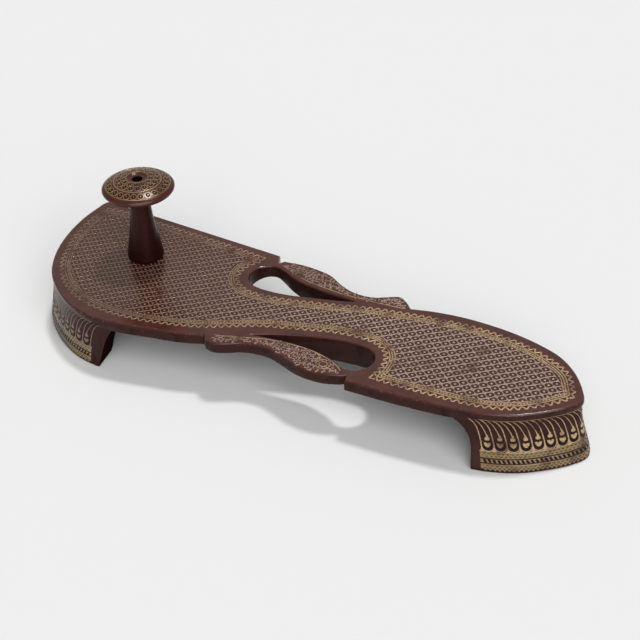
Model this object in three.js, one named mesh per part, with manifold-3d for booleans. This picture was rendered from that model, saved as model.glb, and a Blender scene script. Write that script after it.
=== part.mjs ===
// Paduka for the left foot: a carved wooden sole with a pierced waist, standing on a toe support and a
// heel support, and a turned toe post with a lens-shaped head.
// Millimetres. +Z is up from the floor, +Y points to the toes, +X to the inner side of the foot.

import * as THREE from 'three';
import { mergeVertices } from 'three/addons/utils/BufferGeometryUtils.js';
import loadManifold from 'manifold-3d';

const wasm = await loadManifold();
wasm.setup();

// Driving heights and fits
const PLATE_TOP = 25;
const PLATE_THICKNESS = 5.0;
const RIM_HEIGHT = 2.4;
const RIM_STEP = 0.7;
const ARRIS = 0.7;
const FIT_GAP = 0.3;
const PLATE_UNDERSIDE = PLATE_TOP - PLATE_THICKNESS;
const RIM_UNDERSIDE = PLATE_TOP - RIM_HEIGHT;

// Spacing of points along the plan's curves, and how finely loops are joined and turned
const EDGE_STEP = 3.2;
const SAME_POINT = 0.05;
const WELD_DISTANCE = 1e-4;
const SHARPEST_MITRE = 0.6;
const TURNED_SIDES = 36;

// Plan of the plate. Columns: x, y. Each table is one smooth stretch, and stretches meet at corners.
const INNER_FOREFOOT = [
  [36.6, 31.0],
  [38.25, 121.5],
];
const TOE_CORNER = [
  [38.25, 121.5],
  [37.4, 124.2],
  [35.0, 125.1],
];
const TOE_CURVE = [
  [35.0, 125.1],
  [21.0, 125.4],
  [6.8, 123.2],
  [-7.2, 118.3],
  [-19.8, 110.3],
  [-29.6, 98.6],
  [-36.1, 85.5],
  [-38.25, 72.5],
  [-36.4, 60.0],
  [-33.4, 48.0],
  [-30.8, 37.0],
  [-26.9, 27.0],
];

// Waist, outer side. Columns: y, edge of the bar, slot side of the bar, slot side of the middle strip.
const OUTER_WAIST = [
  [5, -22.6, -16.2, -14.2],
  [-1, -22.2, -15.1, -11.4],
  [-8, -24.0, -14.4, -8.5],
  [-15, -26.2, -14.2, -6.2],
  [-22, -26.9, -15.1, -4.2],
  [-29, -26.0, -16.9, -3.3],
];
const OUTER_SLOT_TIP = [-17.2, 10];
const OUTER_SLOT_END = { x: -11.0, y: -34.0, radius: 7.9, from: 165, to: 368 };
const OUTER_BAR_FOOT = [
  [-29.2, 24.3],
  [-29.7, 20.5],
  [-27.7, 16.0],
  [-24.4, 10.6],
];
const OUTER_BAR_NOTCH = [
  [-23.6, -35.0],
  [-22.2, -36.8],
  [-25.8, -38.0],
];

// Waist, inner side. Columns as above.
const INNER_WAIST = [
  [-9, 28.2, 22.3, 20.0],
  [-3, 30.4, 22.2, 18.0],
  [4, 34.0, 22.5, 15.9],
  [11, 35.2, 23.3, 13.8],
  [18, 35.4, 25.1, 12.5],
  [24, 34.5, 27.6, 12.1],
];
const INNER_SLOT_TIP = [22.2, -14.8];
const INNER_SLOT_END = { x: 20.4, y: 26.6, radius: 8.1, from: 5, to: 180 };
const INNER_BAR_FOOT = [
  [28.6, -37.2],
  [32.0, -33.2],
  [33.9, -29.2],
  [32.2, -25.6],
  [28.9, -20.4],
  [27.7, -15.0],
];
const INNER_BAR_NOTCH = [
  [33.9, 27.2],
  [31.4, 28.4],
];

// Heel of the plate. Columns: y, outer edge, inner edge.
const HEEL = [
  [-46, -25.2, 31.2],
  [-58, -24.3, 33.3],
  [-70, -22.9, 33.8],
  [-82, -21.2, 33.1],
  [-94, -18.6, 30.9],
  [-104, -14.2, 27.5],
  [-113, -7.2, 21.0],
  [-120, 0.4, 12.6],
];
const HEEL_END = [6.6, -122.9];
const HEEL_INNER_START = [28.6, -37.2];

// Belly under the plate between the supports, which makes the walls of the slots deeper than the plate's edge:
// its plan where it leaves the flat underside (columns: x, y), the place that it rounds off towards, its depth
// there, and the shares of that depth that are modelled.
const BELLY_PLAN = [
  [30.0, 30.0],
  [24.0, 44.0],
  [6.0, 52.0],
  [-14.0, 46.0],
  [-24.5, 30.0],
  [-22.5, 12.0],
  [-20.8, -1.0],
  [-24.5, -20.0],
  [-21.0, -37.0],
  [-22.5, -56.0],
  [-12.0, -74.0],
  [8.0, -79.0],
  [26.0, -70.0],
  [31.0, -54.0],
  [27.0, -40.0],
  [29.5, -28.0],
  [26.3, -14.0],
  [30.5, 2.0],
  [33.5, 16.0],
];
const BELLY_MIDDLE = [4, -12];
const BELLY_DEPTH = 6.5;
const BELLY_SHARES = [0.93, 0.75, 0.5, 0.25, 0];

// Outer face of each support. Columns: height, growth beyond the plate's edge, slide in x, slide in y.
const TOE_WALL = [
  [0.0, 0.2, 0.0, 2.5],
  [0.8, 0.7, 0.0, 2.5],
  [5.0, 0.3, 0.0, 2.2],
  [10.0, -0.1, 0.0, 1.6],
  [16.0, -0.6, 0.0, 0.9],
  [RIM_UNDERSIDE, -1.1, 0.0, 0.0],
];
const HEEL_WALL = [
  [0.0, 0.9, -1.4, -2.7],
  [0.8, 1.4, -1.4, -2.6],
  [5.0, 0.8, -1.0, -2.1],
  [10.0, 0.1, -0.5, -1.1],
  [16.0, -0.6, -0.1, -0.3],
  [RIM_UNDERSIDE, -1.1, 0.0, 0.0],
];

// Hollow behind each support, at the floor: the ends of the support's two legs on the plate's outer and inner
// edge, the x of the legs' inner faces, and how deep the hollow bows into the support between them.
const TOE_HOLLOW = { outer: [-38, 74.0], inner: [38, 90.4], legs: [-26.5, 25.0], bow: 26 };
const HEEL_HOLLOW = { outer: [-21, -91.0], inner: [33, -86.2], legs: [-8.5, 20.5], bow: -22 };

// Slope and cove of the hollow's face. Columns: height, slide along the foot.
const TOE_HOLLOW_FACE = [
  [-1, 0.2],
  [5, -1.6],
  [11, -3.6],
  [15.5, -5.4],
  [18, -6.9],
  [21, -9.2],
];
const HEEL_HOLLOW_FACE = [
  [-1, -0.3],
  [4, 0.4],
  [10, 1.0],
  [14, 2.6],
  [17, 4.8],
  [19, 7.0],
  [21, 10.4],
];
const SUPPORT_OVERLAP = 14;
const WASTE_REACH = 400;
const HOLLOW_REACH = 60;
const HOLLOW_STEPS = 20;

// Toe post and head. Columns: radius, height above the plate's top.
const POST_PLACE = [9.1, 81.6];
const PEG_RADIUS = 3.9;
const TENON_RADIUS = 2.0;
const NECK_HEIGHT = 28.8;
const PEG_END = [
  [0.0, -22.8],
  [2.0, -22.5],
  [3.4, -21.2],
  [PEG_RADIUS, -19.4],
];
const POST_SIDE = [
  [6.7, FIT_GAP],
  [7.5, 0.8],
  [7.8, 1.8],
  [7.5, 4.0],
  [6.7, 8.5],
  [5.8, 13.5],
  [5.1, 18.5],
  [4.6, 23.5],
  [4.3, NECK_HEIGHT],
];
const TENON_TOP = 34.4;
const BORE_RADIUS = TENON_RADIUS + FIT_GAP;
const HEAD_SIDE = [
  [BORE_RADIUS, NECK_HEIGHT + FIT_GAP],
  [4.7, NECK_HEIGHT + FIT_GAP],
  [9.4, 30.6],
  [13.1, 32.3],
  [14.9, 33.4],
  [15.3, 34.2],
  [15.0, 35.1],
  [12.6, 36.6],
  [9.4, 37.9],
  [6.4, 38.8],
  [4.5, 39.1],
  [3.6, 38.6],
  [BORE_RADIUS, 38.3],
];

const LACQUER = { color: '#4a2a2b', roughness: 0.42, metalness: 0.0 };
const POST_LACQUER = { color: '#3f1d1b', roughness: 0.3, metalness: 0.0 };
const HEAD_LACQUER = { color: '#4f3327', roughness: 0.34, metalness: 0.0 };

const toPoint = ([x, y]) => new THREE.Vector2(x, y);
const column = (table, place) => table.map((row) => new THREE.Vector2(row[place], row[0]));

// Points along a smooth curve through the given points, about one edge step apart.
function smooth(points) {
  const curve = new THREE.CatmullRomCurve3(
    points.map((p) => new THREE.Vector3(p.x, p.y, 0)),
    false,
    'centripetal',
  );
  const count = Math.max(2, Math.round(curve.getLength() / EDGE_STEP));
  return curve.getSpacedPoints(count).map((p) => new THREE.Vector2(p.x, p.y));
}

// Chains stretches into one closed loop, dropping the points where two stretches meet twice.
function chain(stretches) {
  const points = stretches.flat();
  return points.filter((p, i) => p.distanceTo(points[(i + 1) % points.length]) > SAME_POINT);
}

function arcPoints({ x, y, radius, from, to }) {
  const count = Math.round((THREE.MathUtils.degToRad(to - from) * radius) / EDGE_STEP);
  return Array.from({ length: count + 1 }, (_, i) => {
    const angle = THREE.MathUtils.degToRad(from + ((to - from) * i) / count);
    return new THREE.Vector2(x + radius * Math.cos(angle), y + radius * Math.sin(angle));
  });
}

// Counter-clockwise outline of the plate, seen from above.
function plateOutline() {
  const heel = [
    toPoint(OUTER_BAR_NOTCH.at(-1)),
    ...column(HEEL, 1),
    toPoint(HEEL_END),
    ...column(HEEL, 2).reverse(),
    toPoint(HEEL_INNER_START),
  ];
  const outerBar = [...OUTER_BAR_FOOT.map(toPoint), ...column(OUTER_WAIST, 1), toPoint(OUTER_BAR_NOTCH[0])];
  const innerBar = [...INNER_BAR_FOOT.map(toPoint), ...column(INNER_WAIST, 1), toPoint(INNER_BAR_NOTCH[0])];
  return chain([
    smooth(INNER_FOREFOOT.map(toPoint)),
    smooth(TOE_CORNER.map(toPoint)),
    smooth(TOE_CURVE.map(toPoint)),
    smooth(outerBar),
    OUTER_BAR_NOTCH.map(toPoint),
    smooth(heel),
    smooth(innerBar),
    INNER_BAR_NOTCH.map(toPoint),
  ]);
}

// Clockwise outline of a teardrop slot. The sides are taken in the order that goes counter-clockwise from
// the tip.
function slotOutline(tip, firstSide, end, secondSide) {
  const loop = [toPoint(tip), ...firstSide, ...arcPoints(end), ...secondSide, toPoint(tip)];
  return chain([smooth(loop)]).reverse();
}

function outerSlot() {
  const leaf = column(OUTER_WAIST, 2);
  const strip = column(OUTER_WAIST, 3).reverse();
  return slotOutline(OUTER_SLOT_TIP, leaf, OUTER_SLOT_END, strip);
}

function innerSlot() {
  const leaf = column(INNER_WAIST, 2);
  const strip = column(INNER_WAIST, 3).reverse();
  return slotOutline(INNER_SLOT_TIP, leaf, INNER_SLOT_END, strip);
}

// Moves each point of a closed loop along its outward normal by the distance that grow gives for it.
function offsetLoop(loop, grow) {
  return loop.map((p, i) => {
    const before = loop[(i + loop.length - 1) % loop.length];
    const after = loop[(i + 1) % loop.length];
    const enter = p.clone().sub(before).normalize();
    const leave = after.clone().sub(p).normalize();
    const normal = new THREE.Vector2(enter.y + leave.y, -enter.x - leave.x).normalize();
    const mitre = Math.max(SHARPEST_MITRE, normal.dot(new THREE.Vector2(enter.y, -enter.x)));
    return p.clone().addScaledVector(normal, grow(p) / mitre);
  });
}

// Closed solid through levels of loops with equal point counts, lowest level first. A level's first loop is
// its outline, counter-clockwise, and any further loops are holes, clockwise.
function loft(levels) {
  const positions = levels.flatMap(({ z, loops }) => loops.flat().flatMap((p) => [p.x, p.y, z]));
  const loopSizes = levels[0].loops.map((loop) => loop.length);
  const levelSize = loopSizes.reduce((sum, size) => sum + size, 0);
  const index = [];
  for (let level = 0; level + 1 < levels.length; level += 1) {
    let start = level * levelSize;
    for (const size of loopSizes) {
      for (let i = 0; i < size; i += 1) {
        const a = start + i;
        const b = start + ((i + 1) % size);
        index.push(a, b, b + levelSize, a, b + levelSize, a + levelSize);
      }
      start += size;
    }
  }
  const cap = (level, base, turned) => {
    const [outline, ...holes] = level.loops;
    for (const [a, b, c] of THREE.ShapeUtils.triangulateShape(outline, holes)) {
      index.push(base + a, base + (turned ? c : b), base + (turned ? b : c));
    }
  };
  cap(levels[0], 0, true);
  cap(levels.at(-1), (levels.length - 1) * levelSize, false);
  const geometry = new THREE.BufferGeometry();
  geometry.setAttribute('position', new THREE.Float32BufferAttribute(positions, 3));
  geometry.setIndex(index);
  return geometry;
}

function toSolid(geometry) {
  const bare = geometry.clone();
  bare.deleteAttribute('normal');
  bare.deleteAttribute('uv');
  const merged = mergeVertices(bare, WELD_DISTANCE);
  return new wasm.Manifold(
    new wasm.Mesh({
      numProp: 3,
      vertProperties: new Float32Array(merged.attributes.position.array),
      triVerts: new Uint32Array(merged.index.array),
    }),
  );
}

function toGeometry(solid) {
  const mesh = solid.getMesh();
  const geometry = new THREE.BufferGeometry();
  geometry.setAttribute('position', new THREE.BufferAttribute(mesh.vertProperties, 3));
  geometry.setIndex(new THREE.BufferAttribute(mesh.triVerts, 1));
  geometry.computeVertexNormals();
  return geometry;
}

// Where the line across the ends of a support's legs lies along the foot, at a given x.
function legLine({ outer, inner }, x) {
  return THREE.MathUtils.mapLinear(x, outer[0], inner[0], outer[1], inner[1]);
}

// How far a point lies from a support's leg line towards that support.
function pastLegLine(hollow, p) {
  return Math.sign(hollow.bow) * (p.y - legLine(hollow, p.x));
}

// The plank that the plate is carved from, with its slots. Its lower edge steps in where a support carries on
// below it.
function plankSolid(outline, slots) {
  const stepIn = (p) => {
    const past = Math.max(pastLegLine(TOE_HOLLOW, p), pastLegLine(HEEL_HOLLOW, p));
    return -RIM_STEP * THREE.MathUtils.smoothstep(past, -SUPPORT_OVERLAP, 0);
  };
  const flush = () => 0;
  const chamfer = () => -ARRIS;
  const level = (z, grow, slotGrow) => ({
    z,
    loops: [offsetLoop(outline, grow), ...slots.map((slot) => offsetLoop(slot, slotGrow))],
  });
  return toSolid(
    loft([
      level(PLATE_UNDERSIDE - BELLY_DEPTH, stepIn, flush),
      level(RIM_UNDERSIDE - RIM_STEP / 2, stepIn, flush),
      level(RIM_UNDERSIDE, flush, flush),
      level(PLATE_TOP - ARRIS, flush, flush),
      level(PLATE_TOP, chamfer, chamfer),
    ]),
  );
}

// The belly, rounded off downwards, carried on up into the plate.
function bellySolid() {
  const middle = toPoint(BELLY_MIDDLE);
  const plan = chain([smooth([...BELLY_PLAN, BELLY_PLAN[0]].map(toPoint))]);
  const level = (share, z) => {
    const scale = Math.sqrt(1 - share);
    return { z, loops: [plan.map((p) => p.clone().sub(middle).multiplyScalar(scale).add(middle))] };
  };
  const round = BELLY_SHARES.map((share) => level(share, PLATE_UNDERSIDE - share * BELLY_DEPTH));
  return toSolid(loft([...round, level(0, PLATE_TOP)]));
}

// The plate: the plank carved away from below to the plate's thickness, but for the belly.
function plateSolid(outline, slots) {
  const waste = new THREE.BoxGeometry(WASTE_REACH, WASTE_REACH, 2 * BELLY_DEPTH);
  waste.translate(0, 0, PLATE_UNDERSIDE - BELLY_DEPTH);
  return plankSolid(outline, slots).subtract(toSolid(waste).subtract(bellySolid()));
}

// Plan of the space behind a support: open towards the waist, bowed into the support between its legs.
function hollowPlan(hollow) {
  const [outerLeg, innerLeg] = hollow.legs;
  const middle = (outerLeg + innerLeg) / 2;
  const halfWidth = (innerLeg - outerLeg) / 2;
  const bowed = Array.from({ length: HOLLOW_STEPS + 1 }, (_, i) => {
    const angle = (Math.PI * i) / HOLLOW_STEPS;
    const x = middle + halfWidth * Math.cos(angle);
    return new THREE.Vector2(x, legLine(hollow, x) + hollow.bow * Math.sin(angle));
  });
  const back = -Math.sign(hollow.bow) * HOLLOW_REACH;
  const side = (x, away) => new THREE.Vector2(x, legLine(hollow, x) + away);
  const loop = [
    side(-HOLLOW_REACH, 0),
    side(-HOLLOW_REACH, back),
    side(HOLLOW_REACH, back),
    side(HOLLOW_REACH, 0),
    ...bowed,
  ];
  return hollow.bow > 0 ? loop : loop.reverse();
}

function slideLoop(loop, slideX, slideY) {
  return loop.map((p) => new THREE.Vector2(p.x + slideX, p.y + slideY));
}

// A support: the plate's own end, grown and slid from level to level, less the hollow behind it.
function supportSolid(outline, wall, hollow, face) {
  const isEnd = outline.map((p) => pastLegLine(hollow, p) > -SUPPORT_OVERLAP);
  const block = loft(
    wall.map(([z, grow, slideX, slideY]) => {
      const end = offsetLoop(outline, () => grow).filter((_, i) => isEnd[i]);
      return { z, loops: [slideLoop(end, slideX, slideY)] };
    }),
  );
  const plan = hollowPlan(hollow);
  const space = loft(face.map(([z, slide]) => ({ z, loops: [slideLoop(plan, 0, slide)] })));
  return toSolid(block).subtract(toSolid(space));
}

// Bore through the plate for the post's peg.
function pegBore() {
  const bore = new THREE.CylinderGeometry(
    PEG_RADIUS + FIT_GAP,
    PEG_RADIUS + FIT_GAP,
    2 * PLATE_TOP,
    TURNED_SIDES,
  );
  bore.rotateX(Math.PI / 2);
  bore.translate(POST_PLACE[0], POST_PLACE[1], PLATE_TOP);
  return toSolid(bore);
}

function soleGeometry() {
  const outline = plateOutline();
  const plate = plateSolid(outline, [outerSlot(), innerSlot()]);
  const toe = supportSolid(outline, TOE_WALL, TOE_HOLLOW, TOE_HOLLOW_FACE);
  const heel = supportSolid(outline, HEEL_WALL, HEEL_HOLLOW, HEEL_HOLLOW_FACE);
  return toGeometry(plate.add(toe).add(heel).subtract(pegBore()));
}

function turned(profile) {
  const geometry = new THREE.LatheGeometry(profile.map(toPoint), TURNED_SIDES);
  geometry.rotateX(Math.PI / 2);
  return geometry;
}

function postGeometry() {
  return turned([
    ...PEG_END,
    [PEG_RADIUS, FIT_GAP],
    ...POST_SIDE,
    [TENON_RADIUS, NECK_HEIGHT],
    [TENON_RADIUS, TENON_TOP],
    [0, TENON_TOP],
  ]);
}

function headGeometry() {
  return turned([...HEAD_SIDE, HEAD_SIDE[0]]);
}

function piece(name, geometry, finish) {
  const mesh = new THREE.Mesh(geometry, new THREE.MeshStandardMaterial(finish));
  mesh.name = name;
  return mesh;
}

const knob = new THREE.Group();
knob.position.set(POST_PLACE[0], POST_PLACE[1], PLATE_TOP);
knob.add(piece('toe_post', postGeometry(), POST_LACQUER));
knob.add(piece('post_head', headGeometry(), HEAD_LACQUER));

const paduka = new THREE.Group();
paduka.add(piece('sole', soleGeometry(), LACQUER));
paduka.add(knob);

export default paduka;
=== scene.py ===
"""A paduka for the left foot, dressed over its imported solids.

The sole is carved, the post and its head are turned, and all are lacquered and painted with gold ornament.
Tables are in millimetres in the part's own frame: +X to the inner side of the foot, +Y to the toes, +Z up.
"""

import math

import bmesh
import bpy
import numpy as np
from bpy.props import FloatProperty, FloatVectorProperty, IntProperty, PointerProperty
from mathutils import Matrix, Vector
from mathutils.geometry import delaunay_2d_cdt


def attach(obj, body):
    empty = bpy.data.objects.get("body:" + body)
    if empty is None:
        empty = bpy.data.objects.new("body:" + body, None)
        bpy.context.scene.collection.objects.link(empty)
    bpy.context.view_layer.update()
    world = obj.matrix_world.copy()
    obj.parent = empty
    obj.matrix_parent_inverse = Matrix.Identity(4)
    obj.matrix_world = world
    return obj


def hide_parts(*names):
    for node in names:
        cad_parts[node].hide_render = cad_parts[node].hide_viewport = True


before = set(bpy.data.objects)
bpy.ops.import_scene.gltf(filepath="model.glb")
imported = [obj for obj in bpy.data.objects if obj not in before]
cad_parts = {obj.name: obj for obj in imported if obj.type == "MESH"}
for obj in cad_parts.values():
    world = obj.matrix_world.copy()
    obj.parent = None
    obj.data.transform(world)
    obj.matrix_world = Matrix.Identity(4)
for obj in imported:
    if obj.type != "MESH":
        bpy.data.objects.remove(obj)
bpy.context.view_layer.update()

bl_info = {
    "name": "Paduka",
    "version": (1, 0, 0),
    "blender": (4, 5, 0),
    "location": "3D View > Sidebar > Paduka",
    "description": "Builds a wooden toe-knob sandal with painted gold ornament",
    "category": "Object",
}

# One millimetre in metres, and a length that only keeps a division from failing.
MM, TINY = 0.001, 1e-9
# Spacing of points, in mm: along edges, round the toe corner and a slot's end, up the post and the head.
EDGE_STEP, CORNER_STEP, ARC_STEP, POST_STEP, HEAD_STEP = 1.0, 0.5, 3.0, 0.5, 0.4
# Samples of a curve between two of its points, and sides of the turned pieces and of the rings on the head.
CURVE_SAMPLES, TURNED_SIDES, RING_SIDES = 25, 112, 120
# Points of a loop nearer than this are one, and triangles of less than half this area are dropped, in mm.
SAME_POINT, SLIVER = 0.05, 1e-3
# Points nearer than this are one to the triangulation, in mm.
TRIANGULATION_GAP = 1e-5
# Merging of a finished mesh, in metres: its doubles, and its edges without length.
DOUBLES, NO_LENGTH = 2e-6, 1e-6
# Limit of the cosine that lengthens a normal at a corner of a loop.
SHARPEST_MITRE = 0.6
# Edges that turn more than this stay sharp.
SHARP_CORNER = math.radians(38)
# A point of an inset loop keeps at least this share of the distance from the loop.
INSET_SLACK = 0.97
# Degree of the curve through a column of a wall's table.
FIT_DEGREE = 4

# Plan of the plate. Columns: x, y. Each table is one smooth stretch, and stretches meet at corners.
INNER_FOREFOOT = [(36.6, 31.0), (38.25, 121.5)]
TOE_CORNER = [(38.25, 121.5), (37.4, 124.2), (35.0, 125.1)]
TOE_CURVE = [
    (35.0, 125.1), (21.0, 125.4), (6.8, 123.2), (-7.2, 118.3), (-19.8, 110.3), (-29.6, 98.6),
    (-36.1, 85.5), (-38.25, 72.5), (-36.4, 60.0), (-33.4, 48.0), (-30.8, 37.0), (-26.9, 27.0),
]

# Waist, outer then inner side. Columns: y, edge of the bar, its slot side, slot side of the middle strip.
OUTER_WAIST = [
    (5, -22.6, -16.2, -14.2), (-1, -22.2, -15.1, -11.4), (-8, -24.0, -14.4, -8.5),
    (-15, -26.2, -14.2, -6.2), (-22, -26.9, -15.1, -4.2), (-29, -26.0, -16.9, -3.3),
]
INNER_WAIST = [
    (-9, 28.2, 22.3, 20.0), (-3, 30.4, 22.2, 18.0), (4, 34.0, 22.5, 15.9), (11, 35.2, 23.3, 13.8),
    (18, 35.4, 25.1, 12.5), (24, 34.5, 27.6, 12.1),
]
# Round end of each slot: centre x, centre y, radius, first and last angle.
OUTER_SLOT_TIP, OUTER_SLOT_END = (-17.2, 10.0), (-11.0, -34.0, 7.9, 165, 368)
INNER_SLOT_TIP, INNER_SLOT_END = (22.2, -14.8), (20.4, 26.6, 8.1, 5, 180)
OUTER_BAR_FOOT = [(-29.2, 24.3), (-29.7, 20.5), (-27.7, 16.0), (-24.4, 10.6)]
OUTER_BAR_NOTCH = [(-23.6, -35.0), (-22.2, -36.8), (-25.8, -38.0)]
INNER_BAR_FOOT = [(28.6, -37.2), (32.0, -33.2), (33.9, -29.2), (32.2, -25.6), (28.9, -20.4), (27.7, -15.0)]
INNER_BAR_NOTCH = [(33.9, 27.2), (31.4, 28.4)]

# Heel of the plate. Columns: y, outer edge, inner edge.
HEEL = [
    (-46, -25.2, 31.2), (-58, -24.3, 33.3), (-70, -22.9, 33.8), (-82, -21.2, 33.1), (-94, -18.6, 30.9),
    (-104, -14.2, 27.5), (-113, -7.2, 21.0), (-120, 0.4, 12.6),
]
HEEL_END, HEEL_INNER_START = (6.6, -122.9), (28.6, -37.2)

# Belly under the plate: its plan where it leaves the flat underside (columns: x, y), the place that it rounds
# off towards, its depth there, and the spacing of its points.
BELLY_PLAN = [
    (30.0, 30.0), (24.0, 44.0), (6.0, 52.0), (-14.0, 46.0), (-24.5, 30.0), (-22.5, 12.0), (-20.8, -1.0),
    (-24.5, -20.0), (-21.0, -37.0), (-22.5, -56.0), (-12.0, -74.0), (8.0, -79.0), (26.0, -70.0),
    (31.0, -54.0), (27.0, -40.0), (29.5, -28.0), (26.3, -14.0), (30.5, 2.0), (33.5, 16.0),
]
BELLY_MIDDLE, BELLY_DEPTH, BELLY_GRID = (4.0, -12.0), 6.5, 3.0

# Outer face of each support. Columns: height, growth beyond the plate's edge, slide in x, slide in y.
TOE_WALL = [
    (0.0, 0.8, 0.0, 2.5), (5.0, 0.3, 0.0, 2.2), (10.0, -0.1, 0.0, 1.6), (16.0, -0.5, 0.0, 0.9),
    (22.6, -0.62, 0.0, 0.0),
]
HEEL_WALL = [
    (0.0, 1.5, -1.4, -2.7), (5.0, 0.8, -1.0, -2.1), (10.0, 0.1, -0.5, -1.1), (16.0, -0.5, -0.1, -0.3),
    (22.6, -0.62, 0.0, 0.0),
]
# Rounding of a support's foot. Columns: height, draw-in.
FOOT_ROUND = [(0.0, 0.55), (0.25, 0.2), (0.7, 0.0)]

# Hollow behind each support: its legs' ends on the plate's edge, x of their inner faces, depth of the bow.
TOE_HOLLOW = {"outer": (-38, 74.0), "inner": (38, 90.4), "legs": (-26.5, 25.0), "bow": 26}
HEEL_HOLLOW = {"outer": (-21, -91.0), "inner": (33, -86.2), "legs": (-8.5, 20.5), "bow": -22}
# Slope and cove of the hollow's face. Columns: height, slide along the foot.
TOE_HOLLOW_FACE = [(0, 0.0), (5, -1.6), (11, -3.6), (15.5, -5.4), (18, -6.9), (21, -9.2)]
HEEL_HOLLOW_FACE = [(0, -0.1), (4, 0.4), (10, 1.0), (14, 2.6), (17, 4.8), (19, 7.0), (21, 10.4)]
# Stretch of the plate's edge past each leg where the rim fades out and the wall's course still runs.
SUPPORT_OVERLAP = 14.0
# Heights of a support's rows: its rounded foot, then first, last and count of the wall.
FOOT_HEIGHTS, WALL_HEIGHTS = [0.0, 0.12, 0.25, 0.45, 0.7], (1.5, 20.9, 24)
# How far the top of a support stays below the rim.
RIM_GAP = 0.1
# Points on the end of a leg and round the bow of a hollow.
LEG_POINTS, BOW_POINTS = 5, 48
# Lower edge of the plate. Columns: height above the underside, draw-in.
UNDER_EDGE = [(0.0, 0.6), (0.2, 0.18), (0.6, 0.0)]
# Step under the plate's rim. Columns: height above the rim's lower edge, share of the step.
RIM_EDGE = [(-0.3, 1.0), (-0.05, 0.25), (0.2, 0.0)]
# Worn upper edge: its steps, and the flat ring inside it.
ARRIS_STEPS, ARRIS_FLAT = 7, 0.1
# Rubbing on that edge, which also places the edge's painted shade and painted highlights: strength at the
# edge, width, depth below the top where it begins, and its fade.
RUB_STRENGTH, RUB_WIDTH, RUB_DEPTH, RUB_FADE = 1.2, 0.9, 1.0, 0.5
# Painted shade and dusty dulling of upright faces: strength on an upright face, and its loss on a face that
# looks straight up.
DUST_AND_SHADE_STRENGTH, DUST_AND_SHADE_LOSS = 1.15, 1.4
# A face of a support counts as hollow when it looks less than this far along the edge's outward direction.
HOLLOW_TURN = 0.5
# Plain ends of the painted walls, reach of their chart past the legs, and its height.
WALL_MARGIN, WALL_LEAD, WALL_CHART_TOP = 2.0, 4.0, 22.2
# Dashes of the rope in each unit of the wall.
DASHES_PER_UNIT = 2.7
# Share of the way round each support, toe then heel, where the strokes begin to lean the other way.
WALL_TURNS = 0.5, 0.62

# Axis of the toe post and its head: x, y.
POST_PLACE = (9.1, 81.6)
# Toe post and head, from below. Columns: radius, height above the plate's top.
PEG_END = [(0.0, -22.8), (2.0, -22.5), (3.4, -21.2), (3.9, -19.4)]
PEG_TOP = (3.9, 0.3)
POST_SIDE = [
    (6.7, 0.3), (7.5, 0.8), (7.8, 1.8), (7.5, 4.0), (6.7, 8.5), (5.8, 13.5), (5.1, 18.5), (4.6, 23.5),
    (4.3, 28.8),
]
TENON = [(2.0, 28.8), (2.0, 34.4), (0.0, 34.4)]
BORE_FOOT = (2.3, 29.1)
HEAD_SIDE = [
    (4.7, 29.1), (9.4, 30.6), (13.1, 32.3), (14.9, 33.4), (15.3, 34.2), (15.0, 35.1), (12.6, 36.6),
    (9.4, 37.9), (6.4, 38.8), (4.5, 39.1), (3.6, 38.6), (2.3, 38.3),
]

# Painted field of the plate: the line that its saw-teeth stand on. Columns: x, y.
FIELD_TOE = [
    (31.4, 36.4), (32.4, 48.0), (33.2, 80.0), (33.8, 112.0), (32.4, 119.4), (21.0, 120.9), (7.8, 118.9),
    (-5.4, 114.2), (-17.0, 106.8), (-25.6, 96.2), (-30.4, 84.5), (-31.8, 72.5), (-30.8, 60.0),
    (-28.6, 50.0), (-25.6, 40.0), (-21.9, 30.5), (-17.6, 23.0), (-12.8, 15.0), (-9.2, 7.5), (-6.4, 0.0),
    (-3.4, -8.0), (-0.9, -15.0), (1.0, -22.0), (1.8, -29.0), (1.6, -35.5), (-0.9, -41.4), (-5.6, -45.2),
    (-11.5, -46.6), (-18.9, -46.4),
]
FIELD_HEEL = [
    (-18.9, -46.4), (-18.4, -58.0), (-17.3, -70.0), (-16.2, -82.0), (-14.1, -93.0), (-10.2, -102.2),
    (-4.0, -110.0), (1.8, -115.2), (6.8, -118.2), (11.6, -115.8), (17.6, -111.6), (21.8, -105.2),
    (24.8, -97.6), (26.9, -89.8), (28.2, -80.0), (28.7, -70.0), (28.1, -60.0), (26.8, -51.0),
    (25.1, -42.0), (23.1, -33.0), (20.9, -24.0), (18.3, -16.0), (15.4, -8.0), (12.8, 0.0), (10.0, 9.0),
    (8.2, 17.0), (7.4, 25.0), (8.3, 31.5), (11.4, 36.2), (15.8, 38.9), (20.4, 39.6), (25.2, 38.4),
    (28.6, 36.6), (31.4, 36.4),
]
# Painted part of each leaf-shaped bar and its foot. Columns: y, outer side, inner side.
OUTER_LEAF = [
    (23, -27.5, -24.6), (20, -28.8, -23.9), (16.5, -27.0, -22.3), (13, -24.9, -21.0), (9, -22.8, -19.5),
    (4, -21.7, -17.6), (-1, -21.5, -16.4), (-6, -22.6, -15.6), (-11, -24.3, -15.2), (-16, -25.7, -15.2),
    (-22, -26.3, -16.0), (-27, -25.8, -17.3), (-31, -24.7, -19.2), (-33.6, -23.4, -21.2),
]
INNER_LEAF = [
    (25.4, 30.6, 31.6), (22, 29.2, 33.9), (17, 27.2, 34.6), (11, 25.7, 34.4), (4, 24.9, 33.2),
    (-3, 24.4, 29.6), (-9, 24.3, 27.4), (-14, 24.8, 26.9), (-19, 25.2, 27.9), (-23, 25.5, 30.0),
    (-27, 26.0, 32.1), (-30, 26.3, 32.7), (-33, 26.8, 31.0), (-35.4, 27.2, 28.6),
]
# Rosette on the outer leaf: x, y, radius.
ROSETTE = (-20.6, -25.5, 2.9)

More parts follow.
